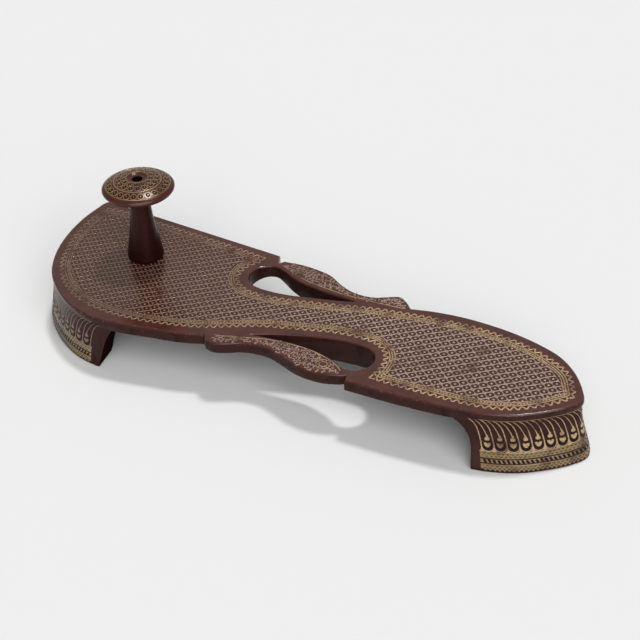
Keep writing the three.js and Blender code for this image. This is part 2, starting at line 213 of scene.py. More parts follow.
# One unit of the painted walls, charted from its bud. Columns: along the wall, height.
DIVIDER = [(-7.2, 21.4), (-5.3, 20.1), (-3.8, 17.7), (-2.95, 14.7), (-2.45, 11.9), (-2.35, 10.2)]
STEM = [(-4.5, 21.3), (-2.7, 19.7), (-1.35, 17.6), (-0.45, 15.7), (-0.1, 14.7)]
BUD = [
    (0.0, 12.75), (0.75, 12.8), (1.05, 13.3), (0.9, 13.9), (0.5, 14.1), (0.5, 14.7), (0.15, 15.2),
    (-0.3, 15.1), (-0.45, 14.6), (-0.5, 14.1), (-0.9, 13.9), (-1.05, 13.3), (-0.75, 12.8),
]
SHADE = [
    (-1.75, 14.2), (-1.6, 13.0), (-0.9, 12.2), (0.0, 12.0), (0.9, 12.2), (1.6, 13.0), (1.75, 14.2),
    (1.1, 13.2), (0.0, 12.8), (-1.1, 13.2),
]
CUP = [
    (-2.05, 11.9), (-2.0, 10.6), (-1.3, 9.35), (0.0, 8.85), (1.3, 9.35), (2.0, 10.6), (2.05, 11.9),
    (1.0, 11.5), (0.0, 11.3), (-1.0, 11.5),
]
CUP_LINE = [(-2.35, 11.9), (-2.3, 10.3), (-1.6, 8.95), (0.0, 8.45), (1.6, 8.95), (2.3, 10.3), (2.35, 11.9)]
HEART = [
    (0.0, 9.95), (0.6, 10.2), (1.2, 10.9), (1.45, 11.8), (0.6, 11.95), (0.0, 11.6), (-0.6, 11.95),
    (-1.45, 11.8), (-1.2, 10.9), (-0.6, 10.2),
]
SPANDREL = [(-2.35, 10.3), (-1.95, 9.1), (-1.3, 8.3), (-3.4, 8.3), (-2.75, 9.1)]
# Strokes of a unit. Columns: path, greatest width.
STROKES = [(DIVIDER, 0.66), (STEM, 0.5)]
# Share of a stroke's width at its thin end, and spacing of its points.
THIN_END, STROKE_STEP = 0.45, 0.6
CUP_LINE_WIDTH = 0.45
# Extra height of a bud and a heart over the paint, and of the cups' black, the dashes and their marks.
BUD_RISE, HEART_RISE, CUP_RISE, DASH_RISE = 0.06, 0.1, -0.02, 0.08
# One slanted dash of the rope, the mark in the bands by it and the places of that mark, and a tooth below.
DASH = [(-0.3, 4.1), (0.85, 4.1), (0.3, 5.4), (-0.85, 5.4)]
MARK = [(-0.62, 0.1), (0.0, -0.5), (0.62, 0.1), (0.45, 0.32), (0.0, -0.05), (-0.45, 0.32)]
MARK_PLACES = [(0.0, 7.75), (0.85, 6.7), (0.0, 2.15), (0.85, 3.05)]
WALL_TOOTH = [(-0.8, 1.75), (-0.35, 1.15), (0.0, 0.75), (0.35, 1.15), (0.8, 1.75)]
# Gold bands along a wall. Columns: height, width.
WALL_BANDS = [(7.15, 2.7), (4.75, 1.6), (2.6, 2.3), (21.6, 0.35)]
# How far the bands reach into the plain ends, and spacing of their points.
BAND_REACH, BAND_STEP = 0.8, 0.9
# Grid of a wall's chart: spacing along the wall, and points up it.
WALL_CHART_STEP, WALL_CHART_ROWS = 0.8, 34

# Relief of the paint: depth of its edges in the lacquer, and width of a spot's sloping rim.
PAINT_SINK, SPOT_RIM = 0.04, 0.1
# Shoulder of a painted line as a share of its half width, and the shoulder's share of the lift.
LINE_SHOULDER, LINE_CREST = 0.55, 0.8
# Shares of a band's width where its slopes begin and end.
BAND_SLOPES = (0.0, 0.12, 0.88, 1.0)
# Lift by which a chart reads its surface's outward direction.
CHART_LIFT = 0.5

# Net of the field: its middle (x, y), its reach (across, along), and the loose turn of a cell.
NET_PLACE, NET_REACH, NET_LOOSE = (1.0, 0.0), (110, 280), math.radians(5)
# Share of the border's width that the net stays clear of.
NET_MARGIN = 0.8
# One cell: its sides, the lift of its seam with the next, and the weights of rim and eye at its crest.
CELL_SIDES, SEAM_LIFT, CREST_WEIGHTS = 20, 0.9, (0.45, 0.55)
# Eye of a cell: its size, the power that rounds it, and radius and sides of the spot in it.
EYE_SIZE, EYE_POWER, EYE_SPOT = 0.66, 1.85, (0.55, 9)
# Rays that look for the patch under a net: height of their start, and length.
RAY_START, RAY_LENGTH = 10.0, 50.0
# Border, in shares of its width: outer and inner edge of each band, and the row of beads.
BORDER_BANDS, BEAD_ROW = [(0.3, 0.46), (0.86, 1.0)], 0.66
# Lift of the border's bands in reliefs, and step of its beads in teeth.
BORDER_LIFT, BEAD_STEP = 1.2, 0.4
# Saw-tooth: heights of its foot, shoulder and tip, half the width of its tip, and width of its line.
TOOTH_HEIGHTS, TOOTH_TIP, TOOTH_LINE = (0.8, -0.1, -1.0), 0.26, 0.74
BEAD = [(0.62, 0.0), (0.3, 0.42), (-0.3, 0.42), (-0.62, 0.0), (-0.3, -0.42), (0.3, -0.42)]

# Rings of the rosette. Columns: share of its radius, width.
ROSETTE_RINGS = [(1.0, 0.4), (0.55, 0.5)]
# Clear ground round the rosette, and sides of its rings.
ROSETTE_CLEAR, ROSETTE_SIDES = 0.4, 24
# Petals of the rosette: place as a share of its radius, count, and radius and sides of one.
PETAL_RING, PETAL_COUNT, PETAL = 0.8, 9, (0.3, 7)
# Leaf bars: inset of the scrolls from the leaf's edge, and width of the line on the slot side.
LEAF_INSET, LEAF_LINE = 0.5, 0.5
# Net of scrolls: spacing and count (across, along), its middle (x, y), and its turn in radians.
CURL_PITCH, CURL_COUNT, CURL_PLACE, CURL_TURN = (2.4, 2.7), (36, 32), (4.0, -5.0), 0.3
# One scroll, from its outer to its inner end: angles in degrees, radii and widths.
CURL_ANGLES, CURL_RADII, CURL_WIDTHS = (-60, 215), (0.86, 0.34), (0.46, 0.34)
# Points along a scroll, and the spot beside it: x, y, radius, sides.
CURL_POINTS, CURL_SPOT = 9, (0.85, -0.85, 0.34, 7)

# Rings on the head (columns: radius, width) and the section of a ring (columns: share of the width, lift).
HEAD_RINGS = [(13.6, 0.35), (9.9, 0.6), (4.6, 0.4)]
RING_SECTION = [(0.5, -0.04), (0.25, 0.1), (-0.25, 0.1), (-0.5, -0.04)]
# Rows of eyes on the head. Columns: name, radius of the row, radius of an eye, count.
EYE_ROWS = [("outer", 12.1, 1.0, 25), ("middle", 8.0, 0.95, 17), ("inner", 5.8, 0.82, 13)]
# Chart of a row of eyes: turns round the head that it covers, and the turn of the first eye.
EYE_CHART_TURNS, EYE_CHART_START = 1.2, 0.1
# The chart's greatest radius, and its points along and across.
EYE_CHART_RADIUS, EYE_CHART_POINTS = 15, (160, 40)
# Gold ring round an eye: its growth beyond the eye, its width and its sides.
EYE_RING, EYE_RING_WIDTH, EYE_RING_SIDES = 0.24, 0.34, 14
# Gold spot in an eye: its share of the eye, its extra height and its sides.
EYE_GOLD_SPOT, EYE_GOLD_RISE, EYE_GOLD_SIDES = 0.34, 0.04, 7
# Black of an eye: its extra height and its sides.
EYE_BLACK_RISE, EYE_BLACK_SIDES = -0.04, 12
# How far an eye strays, along its row and across it.
EYE_LOOSE = (0.08, 0.05)

# Heights between which the post's neck pales as painted sheen, and stretch in y along which the gold darkens
# to the toes.
NECK_HEIGHTS, TOE_SHADE = (30.0, 52.0), (-30.0, 70.0)

# Floor: depth under the feet, radius, sides.
FLOOR_DEPTH, FLOOR_RADIUS, FLOOR_SIDES = 0.02, 6000, 96
# Lights. Columns: name, tint, spread in degrees, direction.
LIGHTS = [
    ("key", "#ffffff", 8, (-6.4, 0.6, -22.0)),
    ("front", "#ffffff", 60, (0.55, 0.55, -0.56)),
    ("back", "#fff0ea", 80, (-0.69, -0.46, -0.56)),
]
# Width of the camera's sensor.
SENSOR_WIDTH = 36.0


def linear(colour):
    """sRGB hex to scene-linear red, green and blue."""
    parts = [int(colour[i:i + 2], 16) / 255 for i in (1, 3, 5)]
    return tuple(c / 12.92 if c <= 0.04045 else ((c + 0.055) / 1.055) ** 2.4 for c in parts)


def length_property(name, description, millimetres):
    """A length that the panel shows in the scene's units."""
    return FloatProperty(
        name=name, description=description, default=millimetres * MM, min=0.0, unit="LENGTH", precision=5
    )


def colour_property(name, description, hex_value):
    """A colour that the panel shows as a swatch."""
    return FloatVectorProperty(
        name=name, description=description, default=linear(hex_value), min=0.0, max=1.0, subtype="COLOR"
    )


def turn_property(name, description, degrees):
    """An angle that the panel shows in degrees."""
    return FloatProperty(name=name, description=description, default=math.radians(degrees), subtype="ANGLE")


def point_property(name, description, metres):
    """A place in the scene."""
    return FloatVectorProperty(
        name=name, description=description, default=metres, subtype="TRANSLATION", unit="LENGTH"
    )


class PadukaSizes(bpy.types.PropertyGroup):
    """Sizes of the carving and of the painted ornament."""

    plate_top: length_property("Plate top", "Height of the plate's top above the floor", 25.0)
    plate_thickness: length_property("Plate thickness", "Thickness of the plate", 5.0)
    rim_height: length_property("Rim height", "Height of the plate's rim over the supports", 2.4)
    rim_step: length_property("Rim step", "How far the wood steps in under the rim", 0.7)
    arris: length_property("Arris", "Radius of the plate's worn upper edge", 0.8)
    cell_across: length_property("Cell across", "Width of one cell of the painted net", 4.35)
    cell_along: length_property("Cell along", "Length of one cell of the painted net", 4.9)
    band_width: length_property("Band width", "Width of the gold band round the field", 3.6)
    tooth_pitch: length_property("Tooth pitch", "Spacing of the saw-teeth on the band", 3.1)
    unit_pitch: length_property("Unit pitch", "Spacing of the strokes on the support walls", 4.7)
    relief: length_property("Relief", "How far the paint stands above the lacquer", 0.1)
    net_turn: turn_property("Net turn", "Turn of the net on the plate", 1.8)
    seed: IntProperty(name="Seed", description="Seed of the painter's small irregularities", default=7)


class PadukaColours(bpy.types.PropertyGroup):
    """Colours of the lacquer, the paint and the stage."""

    lacquer: colour_property("Lacquer", "Maroon lacquer of the sole", "#512a21")
    lacquer_dark: colour_property("Dark lacquer", "Darker clouds in the maroon lacquer", "#401f18")
    # Painted shade: upright faces are given this darker lacquer by their tilt.
    flank: colour_property("Flank", "Darker, dusty lacquer of the upright faces", "#341d1a")
    # Painted shade: this colour fills the hollows and leg ends, and lies in blotches on the upright faces.
    grime: colour_property("Grime", "Darker blotches on the upright faces", "#1e100e")
    # Painted shade as well as wear: the rubbed edge is darkened into a dark line.
    worn_arris: colour_property("Worn arris", "Redder lacquer where the edge is rubbed", "#42221f")
    # Painted highlights as well as wear: these pale flecks stand for light caught along the edge.
    chips: colour_property("Chips", "Pale chips along the rubbed edge", "#76524d")
    ground: colour_property("Ground", "Dark lacquer between the painted lines", "#39180f")
    # In the bore this black is painted shade; elsewhere it is paint.
    black: colour_property("Black", "Nearly black lacquer in the cups and the bore", "#180907")
    net_gold: colour_property("Net gold", "Dull gold of the net", "#ab9484")
    border_gold: colour_property("Border gold", "Warmer gold of the border and the lines", "#b09570")
    wall_gold: colour_property("Wall gold", "Darker gold of the walls", "#84704c")
    head_gold: colour_property("Head gold", "Brighter gold of the head", "#8d704e")
    worn_gold: colour_property("Worn gold", "Gold rubbed thin", "#7a5648")
    toe_gold: colour_property("Toe gold", "Gold darkened under the toes", "#745c4b")
    post_lacquer: colour_property("Post lacquer", "Satin dark lacquer of the post's flare", "#220a07")
    # Painted sheen: the neck is given paler lacquer for the gleam that it catches.
    post_rubbed: colour_property("Rubbed post", "Paler lacquer of the neck, rubbed by the toes", "#38201d")
    head_lacquer: colour_property("Head lacquer", "Brown lacquer of the head", "#46261f")
    paper: colour_property("Paper", "White paper of the floor", "#e7e7e7")
    paper_fibres: colour_property("Paper fibres", "Slightly darker fibres in the paper", "#e6e6e6")
    room: colour_property("Room", "White of the room", "#f8f8f8")


class PadukaStage(bpy.types.PropertyGroup):
    """Camera and light."""

    camera_place: point_property("Camera", "Place of the camera", (-0.46023, -0.31281, 0.41642))
    camera_aim: point_property("Aim", "Point that the camera looks at", (0.00407, -0.00892, 0.025))
    camera_roll: turn_property("Roll", "Roll of the camera about its axis", -2.83)
    lens: FloatProperty(name="Lens", description="Focal length on a 36 mm sensor, in mm", default=94.9)
    key_strength: FloatProperty(name="Key", description="Strength of the overhead light", default=1.34)
    front_strength: FloatProperty(name="Front", description="Strength of the light in front", default=2.4)
    back_strength: FloatProperty(name="Back", description="Strength of the light behind", default=0.35)
    room_strength: FloatProperty(name="Room", description="Strength of the light all round", default=0.25)


def smooth(points, step=EDGE_STEP):
    """Evenly spaced points on a centripetal curve through the given points."""
    p = np.asarray(points, float)
    p = np.vstack([2 * p[0] - p[1], p, 2 * p[-1] - p[-2]])
    t = np.linspace(0, 1, CURVE_SAMPLES)[:, None]
    arcs = []
    for a, b, c, d in zip(p, p[1:], p[2:], p[3:]):
        u, v, w = (np.linalg.norm(n - m) ** 0.5 for m, n in ((a, b), (b, c), (c, d)))
        start = ((b - a) / u - (c - a) / (u + v) + (c - b) / v) * v
        end = ((c - b) / v - (d - b) / (v + w) + (d - c) / w) * v
        bend, twist = 3 * (c - b) - 2 * start - end, 2 * (b - c) + start + end
        arcs.append(b + t * start + t**2 * bend + t**3 * twist)
    return spaced(np.vstack(arcs), step)


def spaced(path, step):
    """The same path with its points about one step apart."""
    walk = np.r_[0.0, np.cumsum(np.linalg.norm(np.diff(path, axis=0), axis=1))]
    places = np.linspace(0, walk[-1], max(2, round(walk[-1] / step)) + 1)
    return np.stack([np.interp(places, walk, axis) for axis in path.T], -1)


def chain(*stretches):
    """One closed loop of stretches, less the points where two stretches meet."""
    loop = np.vstack(stretches)
    return loop[np.linalg.norm(np.roll(loop, -1, axis=0) - loop, axis=1) > SAME_POINT]


def normals(loop):
    """Mitred normals of a closed loop, to the right of its direction, longer at corners."""
    enter, leave = loop - np.roll(loop, 1, axis=0), np.roll(loop, -1, axis=0) - loop
    enter, leave = (v / np.linalg.norm(v, axis=1, keepdims=True) for v in (enter, leave))
    normal = (enter + leave)[:, ::-1] * (1, -1)
    normal /= np.linalg.norm(normal, axis=1, keepdims=True)
    mitre = np.sum(normal * (enter[:, ::-1] * (1, -1)), axis=1, keepdims=True)
    return normal / np.maximum(SHARPEST_MITRE, mitre)


def grown(loop, distance):
    """A closed loop moved along its normals, by one distance or one for each point."""
    return loop + normals(loop) * np.broadcast_to(distance, len(loop))[:, None]


def inset(loop, distance):
    """A closed loop moved inwards. Points that would cross at a corner gather at the corner."""
    moved = grown(loop, -distance)
    gap = np.min(np.linalg.norm(moved[:, None] - loop[None], axis=2), axis=1)
    good = np.flatnonzero(gap >= INSET_SLACK * distance)
    step = np.abs(np.arange(len(loop))[:, None] - good)
    return moved[good[np.argmin(np.minimum(step, len(loop) - step), axis=1)]]


def inside(points, loop):
    """Which points lie inside a closed loop."""
    x, y = points[:, :1], points[:, 1:2]
    (x0, y0), (x1, y1) = loop.T, np.roll(loop, -1, axis=0).T
    crosses = ((y0 > y) != (y1 > y)) & (x < (x1 - x0) * (y - y0) / (y1 - y0 + TINY) + x0)
    return crosses.sum(axis=1) % 2 == 1


def arc(x, y, radius, first, last):
    """Points round the end of a slot."""
    steps = round(math.radians(last - first) * radius / ARC_STEP)
    angle = np.radians(np.linspace(first, last, 2 + steps))
    return np.stack([x + radius * np.cos(angle), y + radius * np.sin(angle)], -1)


def column(table, place):
    """One side of a table as points. The table's first column is y."""
    return [(row[place], row[0]) for row in table]


def plate_outline():
    """Counter-clockwise outline of the plate, seen from above."""
    heel = [OUTER_BAR_NOTCH[-1], *column(HEEL, 1), HEEL_END, *column(HEEL, 2)[::-1], HEEL_INNER_START]
    return chain(
        smooth(INNER_FOREFOOT),
        smooth(TOE_CORNER, CORNER_STEP),
        smooth(TOE_CURVE),
        smooth([*OUTER_BAR_FOOT, *column(OUTER_WAIST, 1), OUTER_BAR_NOTCH[0]]),
        np.array(OUTER_BAR_NOTCH),
        smooth(heel),
        smooth([*INNER_BAR_FOOT, *column(INNER_WAIST, 1), INNER_BAR_NOTCH[0]]),
        np.array(INNER_BAR_NOTCH),
    )


def slot_outlines():
    """Clockwise outlines of the two teardrop slots."""
    slots = []
    outer = OUTER_SLOT_TIP, OUTER_WAIST, OUTER_SLOT_END
    inner = INNER_SLOT_TIP, INNER_WAIST, INNER_SLOT_END
    for tip, table, end in (outer, inner):
        loop = [tip, *column(table, 2), *arc(*end), *column(table, 3)[::-1], tip]
        slots.append(chain(smooth(loop))[::-1])
    return slots


def belly(points):
    """How far the plate's underside bulges down at each point."""
    plan = smooth([*BELLY_PLAN, BELLY_PLAN[0]]) - BELLY_MIDDLE
    away = np.asarray(points)[:, :2] - BELLY_MIDDLE
    turn, reach = np.arctan2(plan[:, 1], plan[:, 0]), np.hypot(plan[:, 0], plan[:, 1])
    edge = np.interp(np.arctan2(away[:, 1], away[:, 0]), turn, reach, period=2 * math.pi)
    return BELLY_DEPTH * np.clip(1 - (np.hypot(away[:, 0], away[:, 1]) / edge) ** 2, 0, 1)


def field_edge():
    """Counter-clockwise line that the saw-teeth of the painted field stand on."""
    return chain(smooth(FIELD_TOE), smooth(FIELD_HEEL))


def leaf_outline(table):
    """Counter-clockwise outline of the paint on a leaf-shaped bar."""
    down, up = column(table, 1), column(table, 2)[::-1]
    return chain(smooth([*down, *up, down[0]]))


def leg_line(hollow, x):
    """Where the line across a support's legs lies along the foot."""
    (x0, y0), (x1, y1) = hollow["outer"], hollow["inner"]
    return y0 + (x - x0) * (y1 - y0) / (x1 - x0)


def past_legs(hollow, points):
    """How far points lie from a support's leg line towards that support."""
    return math.copysign(1, hollow["bow"]) * (points[:, 1] - leg_line(hollow, points[:, 0]))


def steady(table, place, heights):
    """A column of a table as a smooth function of height."""
    rows = np.array(table, float)
    return np.polyval(np.polyfit(rows[:, 0], rows[:, place], FIT_DEGREE), heights)


class Wall:
    """Outer face of a support: its course along the plate's edge, and its profile."""

    def __init__(self, outline, table, hollow, face):
        keep = past_legs(hollow, outline) > -SUPPORT_OVERLAP
        self.table, self.hollow, self.face = table, hollow, face
        self.course, self.out = outline[keep], normals(outline)[keep]
        walk = np.r_[0.0, np.cumsum(np.linalg.norm(np.diff(self.course, axis=0), axis=1))]
        first, last = (np.interp(0, ends, where) for ends, where in self.crossings(walk))
        self.walk, self.length = walk - first, last - first

    def crossings(self, walk):
        """Both stretches of the course that cross the leg line, as distance past it against place."""
        past, half = past_legs(self.hollow, self.course), len(walk) // 2
        return (past[:half], walk[:half]), (past[half:][::-1], walk[half:][::-1])

    def at(self, along, height, lift=0.0):
        """Points on the wall, in millimetres, at a place along it and a height above the floor."""
        along, height = np.broadcast_arrays(np.asarray(along, float), np.asarray(height, float))
        base = np.stack([np.interp(along, self.walk, axis) for axis in self.course.T], -1)
        out = np.stack([np.interp(along, self.walk, axis) for axis in self.out.T], -1)
        grow = steady(self.table, 1, height) - np.interp(height, *np.transpose(FOOT_ROUND)) + lift
        slide = np.stack([steady(self.table, 2, height), steady(self.table, 3, height)], -1)
        return np.concatenate([base + out * grow[..., None] + slide, height[..., None]], -1)

    def loop(self, height, count):
        """The support's whole outline at one height: outer face, leg, hollow, leg."""
        slide = steady(self.face, 1, height)
        face = self.at(self.walk, height)[:, :2]
        past = past_legs(self.hollow, face - (0, slide))
        first, last = np.flatnonzero(past > 0)[[0, -1]]
        cut = []
        for i, j in ((first - 1, first), (last + 1, last)):
            cut.append(face[i] + (face[j] - face[i]) * past[i] / (past[i] - past[j]))
        outer = np.vstack([cut[0], face[first:last + 1], cut[1]])
        walk = np.r_[0.0, np.cumsum(np.linalg.norm(np.diff(outer, axis=0), axis=1))]
        outer = np.stack([np.interp(np.linspace(0, walk[-1], count), walk, axis) for axis in outer.T], -1)
        left, right = self.hollow["legs"]
        ends = (math.pi, 0) if self.hollow["bow"] > 0 else (0, math.pi)
        turn = np.linspace(*ends, BOW_POINTS)
        x = (left + right) / 2 + (right - left) / 2 * np.cos(turn)
        bow = np.stack([x, leg_line(self.hollow, x) + self.hollow["bow"] * np.sin(turn) + slide], -1)
        part = np.linspace(0, 1, LEG_POINTS)[1:-1, None]
        legs = [outer[-1] + (bow[0] - outer[-1]) * part, bow[-1] + (outer[0] - bow[-1]) * part]
        loop = np.vstack([outer, legs[0], bow, legs[1]])
        return np.column_stack([loop, np.full(len(loop), height)])


def loop_edges(loops):
    """Edges of closed loops whose points are numbered one loop after the other."""
    starts = np.cumsum([0] + [len(loop) for loop in loops])
    edges = []
    for start, loop in zip(starts, loops):
        edges += [(int(start + i), int(start + (i + 1) % len(loop))) for i in range(len(loop))]
    return edges


class Surface:
    """Points, in millimetres, and faces of one piece while it is made."""

    def __init__(self):
        self.points, self.faces, self.slots, self.count = [], [], [], 0

    def add(self, points, faces, slot=0):
        """Points and faces, in one material slot or one for each face."""
        points = np.asarray(points, float).reshape(-1, 3)
        self.points.append(points)
        self.faces += [[int(i) + self.count for i in face] for face in faces]
        self.slots += list(np.broadcast_to(slot, len(faces)))
        self.count += len(points)

    def loft(self, rows, closed=True):
        """Quads between rows of points, lowest row first on a counter-clockwise loop."""
        rows = np.asarray(rows, float)
        r, c = np.meshgrid(range(rows.shape[0] - 1), range(rows.shape[1] - (not closed)), indexing="ij")
        n, w = (c + 1) % rows.shape[1], rows.shape[1]
        quads = np.stack([r * w + c, r * w + n, (r + 1) * w + n, (r + 1) * w + c], -1)
        self.add(rows, quads.reshape(-1, 4))

    def cap(self, height, outline, holes=(), drawn=(), up=True, bulge=None):
        """A face between an outline and its holes, split along loops drawn on it, each with a slot.

        A bulge is a function that says how far the face sinks at each point.
        """
        loops = [outline, *holes, *(loop for loop, _ in drawn)]
        flat = [Vector(p[:2]) for p in np.vstack(loops)]
        if bulge:
            axes = [np.arange(a, b, BELLY_GRID) for a, b in zip(outline.min(axis=0), outline.max(axis=0))]
            grid = np.stack(np.meshgrid(*axes), -1).reshape(-1, 2)
            gap = np.min(np.linalg.norm(grid[:, None] - np.vstack(loops)[None], axis=2), axis=1)
            flat += [Vector(p) for p in grid[(gap > BELLY_GRID / 2) & (bulge(grid) > 0)]]
        points, _, faces, *_ = delaunay_2d_cdt(flat, loop_edges(loops), [], 0, TRIANGULATION_GAP)
        points, faces = np.array(points), np.array(faces)
        middle = points[faces].mean(axis=1)
        (ax, ay), (bx, by) = (points[faces[:, i]].T - points[faces[:, 0]].T for i in (1, 2))
        keep = inside(middle, outline) & (np.abs(ax * by - ay * bx) > SLIVER)
        for hole in holes:
            keep &= ~inside(middle, hole)
        slot = np.zeros(len(faces), int)
        for loop, number in drawn:
            slot[inside(middle, loop)] = number
        faces = faces if up else faces[:, ::-1]
        heights = np.full(len(points), height) - (bulge(points) if bulge else 0)
        self.add(np.column_stack([points, heights]), faces[keep], slot[keep])

    def mesh(self, name, materials):
        """A Blender mesh in metres: doubles merged, smooth but for real corners."""
        mesh = bpy.data.meshes.new(name)
        mesh.from_pydata(np.vstack(self.points) * MM, [], self.faces)
        mesh.polygons.foreach_set("material_index", np.array(self.slots, np.int32))
        for material in materials:
            mesh.materials.append(material)
        work = bmesh.new()
        work.from_mesh(mesh)
        bmesh.ops.remove_doubles(work, verts=work.verts, dist=DOUBLES)
        bmesh.ops.dissolve_degenerate(work, edges=work.edges, dist=NO_LENGTH)
        work.to_mesh(mesh)
        work.free()
        mesh.shade_smooth()
        mesh.set_sharp_from_angle(angle=SHARP_CORNER)
        return mesh


class Relief(Surface):
    """Paint that stands a little above the lacquer, charted flat and laid on the piece by place()."""

    def __init__(self, place, lift):
        super().__init__()
        self.place, self.lift = place, lift

    def laid(self, path, lift):
        """Charted points on the piece, at a lift above its lacquer."""
        return self.place(path[:, 0], path[:, 1], lift)

    def line(self, path, width, closed=False):
        """A bead of paint along a path, its edges sunk in the lacquer, of one width or one for each point."""
        path = np.asarray(path, float)
        if closed:
            side = normals(path)
        else:
            ahead = np.gradient(path, axis=0)
            side = ahead[:, ::-1] * (1, -1) / (np.linalg.norm(ahead, axis=1, keepdims=True) + TINY)
        half = side * (np.broadcast_to(width, len(path)) / 2)[:, None]
        shoulder, crest = half * LINE_SHOULDER, self.lift * LINE_CREST
        rows = [
            self.laid(path + half, -PAINT_SINK), self.laid(path + shoulder, crest),
            self.laid(path - shoulder, crest), self.laid(path - half, -PAINT_SINK),
        ]
        self.loft(rows, closed)

    def band(self, outer, inner):
        """A flat band of paint between two loops that run side by side."""
        lifts = (-PAINT_SINK, self.lift, self.lift, -PAINT_SINK)
        self.loft([self.laid(outer + (inner - outer) * part, lift) for part, lift in zip(BAND_SLOPES, lifts)])

    def spot(self, shape, extra=0.0):
        """A filled spot of paint with a sloping rim. Its shape may run either way round."""
        shape = np.asarray(shape, float)
        (x, y), (next_x, next_y) = shape.T, np.roll(shape, -1, axis=0).T
        if np.sum(x * next_y - y * next_x) < 0:
            shape = shape[::-1]
        rim, crest = self.laid(shape, -PAINT_SINK), self.laid(grown(shape, -SPOT_RIM), self.lift + extra)
        n = len(shape)
        slope = [(i, (i + 1) % n, n + (i + 1) % n, n + i) for i in range(n)]
        self.add(np.vstack([rim, crest]), [*slope, range(n, 2 * n)])


def disc(x, y, radius, sides):
    """Points of a regular polygon round a place."""
    angle = np.linspace(0, 2 * math.pi, sides, endpoint=False)
    return np.stack([x + radius * np.cos(angle), y + radius * np.sin(angle)], -1)


def node(tree, kind, settings=None, inputs=None):
    """Adds a node, sets its properties, and fills its inputs with values or links."""
    made = tree.nodes.new(kind)
    for key, value in (settings or {}).items():
        setattr(made, key, value)
    for key, value in (inputs or {}).items():
        if isinstance(value, bpy.types.NodeSocket):
            tree.links.new(value, made.inputs[key])
        else:
            made.inputs[key].default_value = value
    return made


def new_finish(name, specular):
    """An empty finish: the material, its node tree, its shader, and the piece's own coordinates."""
    material = bpy.data.materials.new(name)
    material.use_nodes = True
    tree = material.node_tree
    tree.nodes.clear()
    shader = node(tree, "ShaderNodeBsdfPrincipled", inputs={"Specular IOR Level": specular})
    node(tree, "ShaderNodeOutputMaterial", inputs={"Surface": shader.outputs["BSDF"]})
    return material, tree, shader, node(tree, "ShaderNodeTexCoord").outputs["Object"]


def mottle(tree, place, size, low, high, detail=4.0, stretch=(1, 1, 1)):
    """Blotches about size millimetres across: 0 where the noise is below low, 1 where it is above high."""
    mapped = node(tree, "ShaderNodeMapping", inputs={"Vector": place, "Scale": stretch})
    noise = node(tree, "ShaderNodeTexNoise", inputs={
        "Vector": mapped.outputs["Vector"], "Scale": 1 / (size * MM), "Detail": detail,
    })
    spread = node(tree, "ShaderNodeMapRange", {"interpolation_type": "SMOOTHSTEP"}, {
        "Value": noise.outputs["Fac"], "From Min": low, "From Max": high,
    })
    return spread.outputs["Result"]


def layered(tree, under, *layers):
    """A colour or a link with colours laid over it, each by its own mask."""
    over = under if isinstance(under, bpy.types.NodeSocket) else (*under, 1.0)
    for mask, tint in layers:
        mixed = node(tree, "ShaderNodeMix", {"data_type": "RGBA"}, {0: mask, 6: over, 7: (*tint, 1.0)})
        over = mixed.outputs[2]
    return over


def lacquered_hardwood(name, bright, dark, rough=(0.14, 0.24), specular=0.5):
    """Hardwood under hand-rubbed lacquer: satin, clouded, with faint grain along the foot."""
    material, tree, shader, place = new_finish(name, specular)
    clouds = mottle(tree, place, size=8.0, low=0.3, high=0.7, detail=8.0)
    grain = mottle(tree, place, size=1.3, low=0.45, high=1.0, stretch=(1, 0.07, 1))
    tree.links.new(layered(tree, bright, (clouds, dark), (grain, dark)), shader.inputs["Base Color"])
    sheen = node(tree, "ShaderNodeMapRange", inputs={
        "Value": mottle(tree, place, size=2.4, low=0.3, high=0.7), "To Min": rough[0], "To Max": rough[1],
    })
    tree.links.new(sheen.outputs["Result"], shader.inputs["Roughness"])
    brushed = node(tree, "ShaderNodeBump", inputs={
        "Height": mottle(tree, place, size=0.9, low=0.2, high=0.8, detail=5.0),
        "Distance": 0.05 * MM, "Strength": 0.3,
    })
    tree.links.new(brushed.outputs["Normal"], shader.inputs["Normal"])
    return material


def weathered_and_shaded(material, flank, grime, worn, chips):
    """Age and painted light on carved lacquer: dusty upright faces darkened as painted shade, matt hollows
    darkened as painted shade, and an edge rubbed redder and darkened as painted shade, with pale flecks that
    are also painted highlights.
    """
    tree = material.node_tree
    shader = next(n for n in tree.nodes if n.bl_idname == "ShaderNodeBsdfPrincipled")
    place = node(tree, "ShaderNodeTexCoord").outputs["Object"]
    dust_and_shade, arris, hollow = (
        node(tree, "ShaderNodeAttribute", {"attribute_name": mark}).outputs["Fac"]
        for mark in ("flank", "arris", "hollow")
    )
    blotches = mottle(tree, place, size=5.0, low=0.45, high=0.8, detail=6.0)
    rubbing = mottle(tree, place, size=4.0, low=0.3, high=0.7, detail=5.0)
    flakes_and_highlights = mottle(tree, place, size=0.9, low=0.62, high=0.7, detail=2.0)
    # Painted shade on the upright faces and in blotches over them, on the rubbed edge and in the hollows;
    # pale flecks as painted highlights.
    layers = [(dust_and_shade, flank)]
    for mark, spread, tint in ((dust_and_shade, blotches, grime), (arris, rubbing, worn), (arris, flakes_and_highlights, chips)):
        mask = node(tree, "ShaderNodeMath", {"operation": "MULTIPLY"}, {0: mark, 1: spread}).outputs[0]
        layers.append((mask, tint))
    lacquer = shader.inputs["Base Color"].links[0].from_socket
    tree.links.new(layered(tree, lacquer, *layers, (hollow, grime)), shader.inputs["Base Color"])
    gleam = shader.inputs["Specular IOR Level"]
    dull = node(tree, "ShaderNodeMapRange", inputs={
        "Value": dust_and_shade, "To Min": gleam.default_value, "To Max": 0.08,
    }).outputs["Result"]
    matt = node(tree, "ShaderNodeMapRange", inputs={"Value": hollow, "To Min": dull, "To Max": 0.0})
    tree.links.new(matt.outputs["Result"], gleam)
    return material


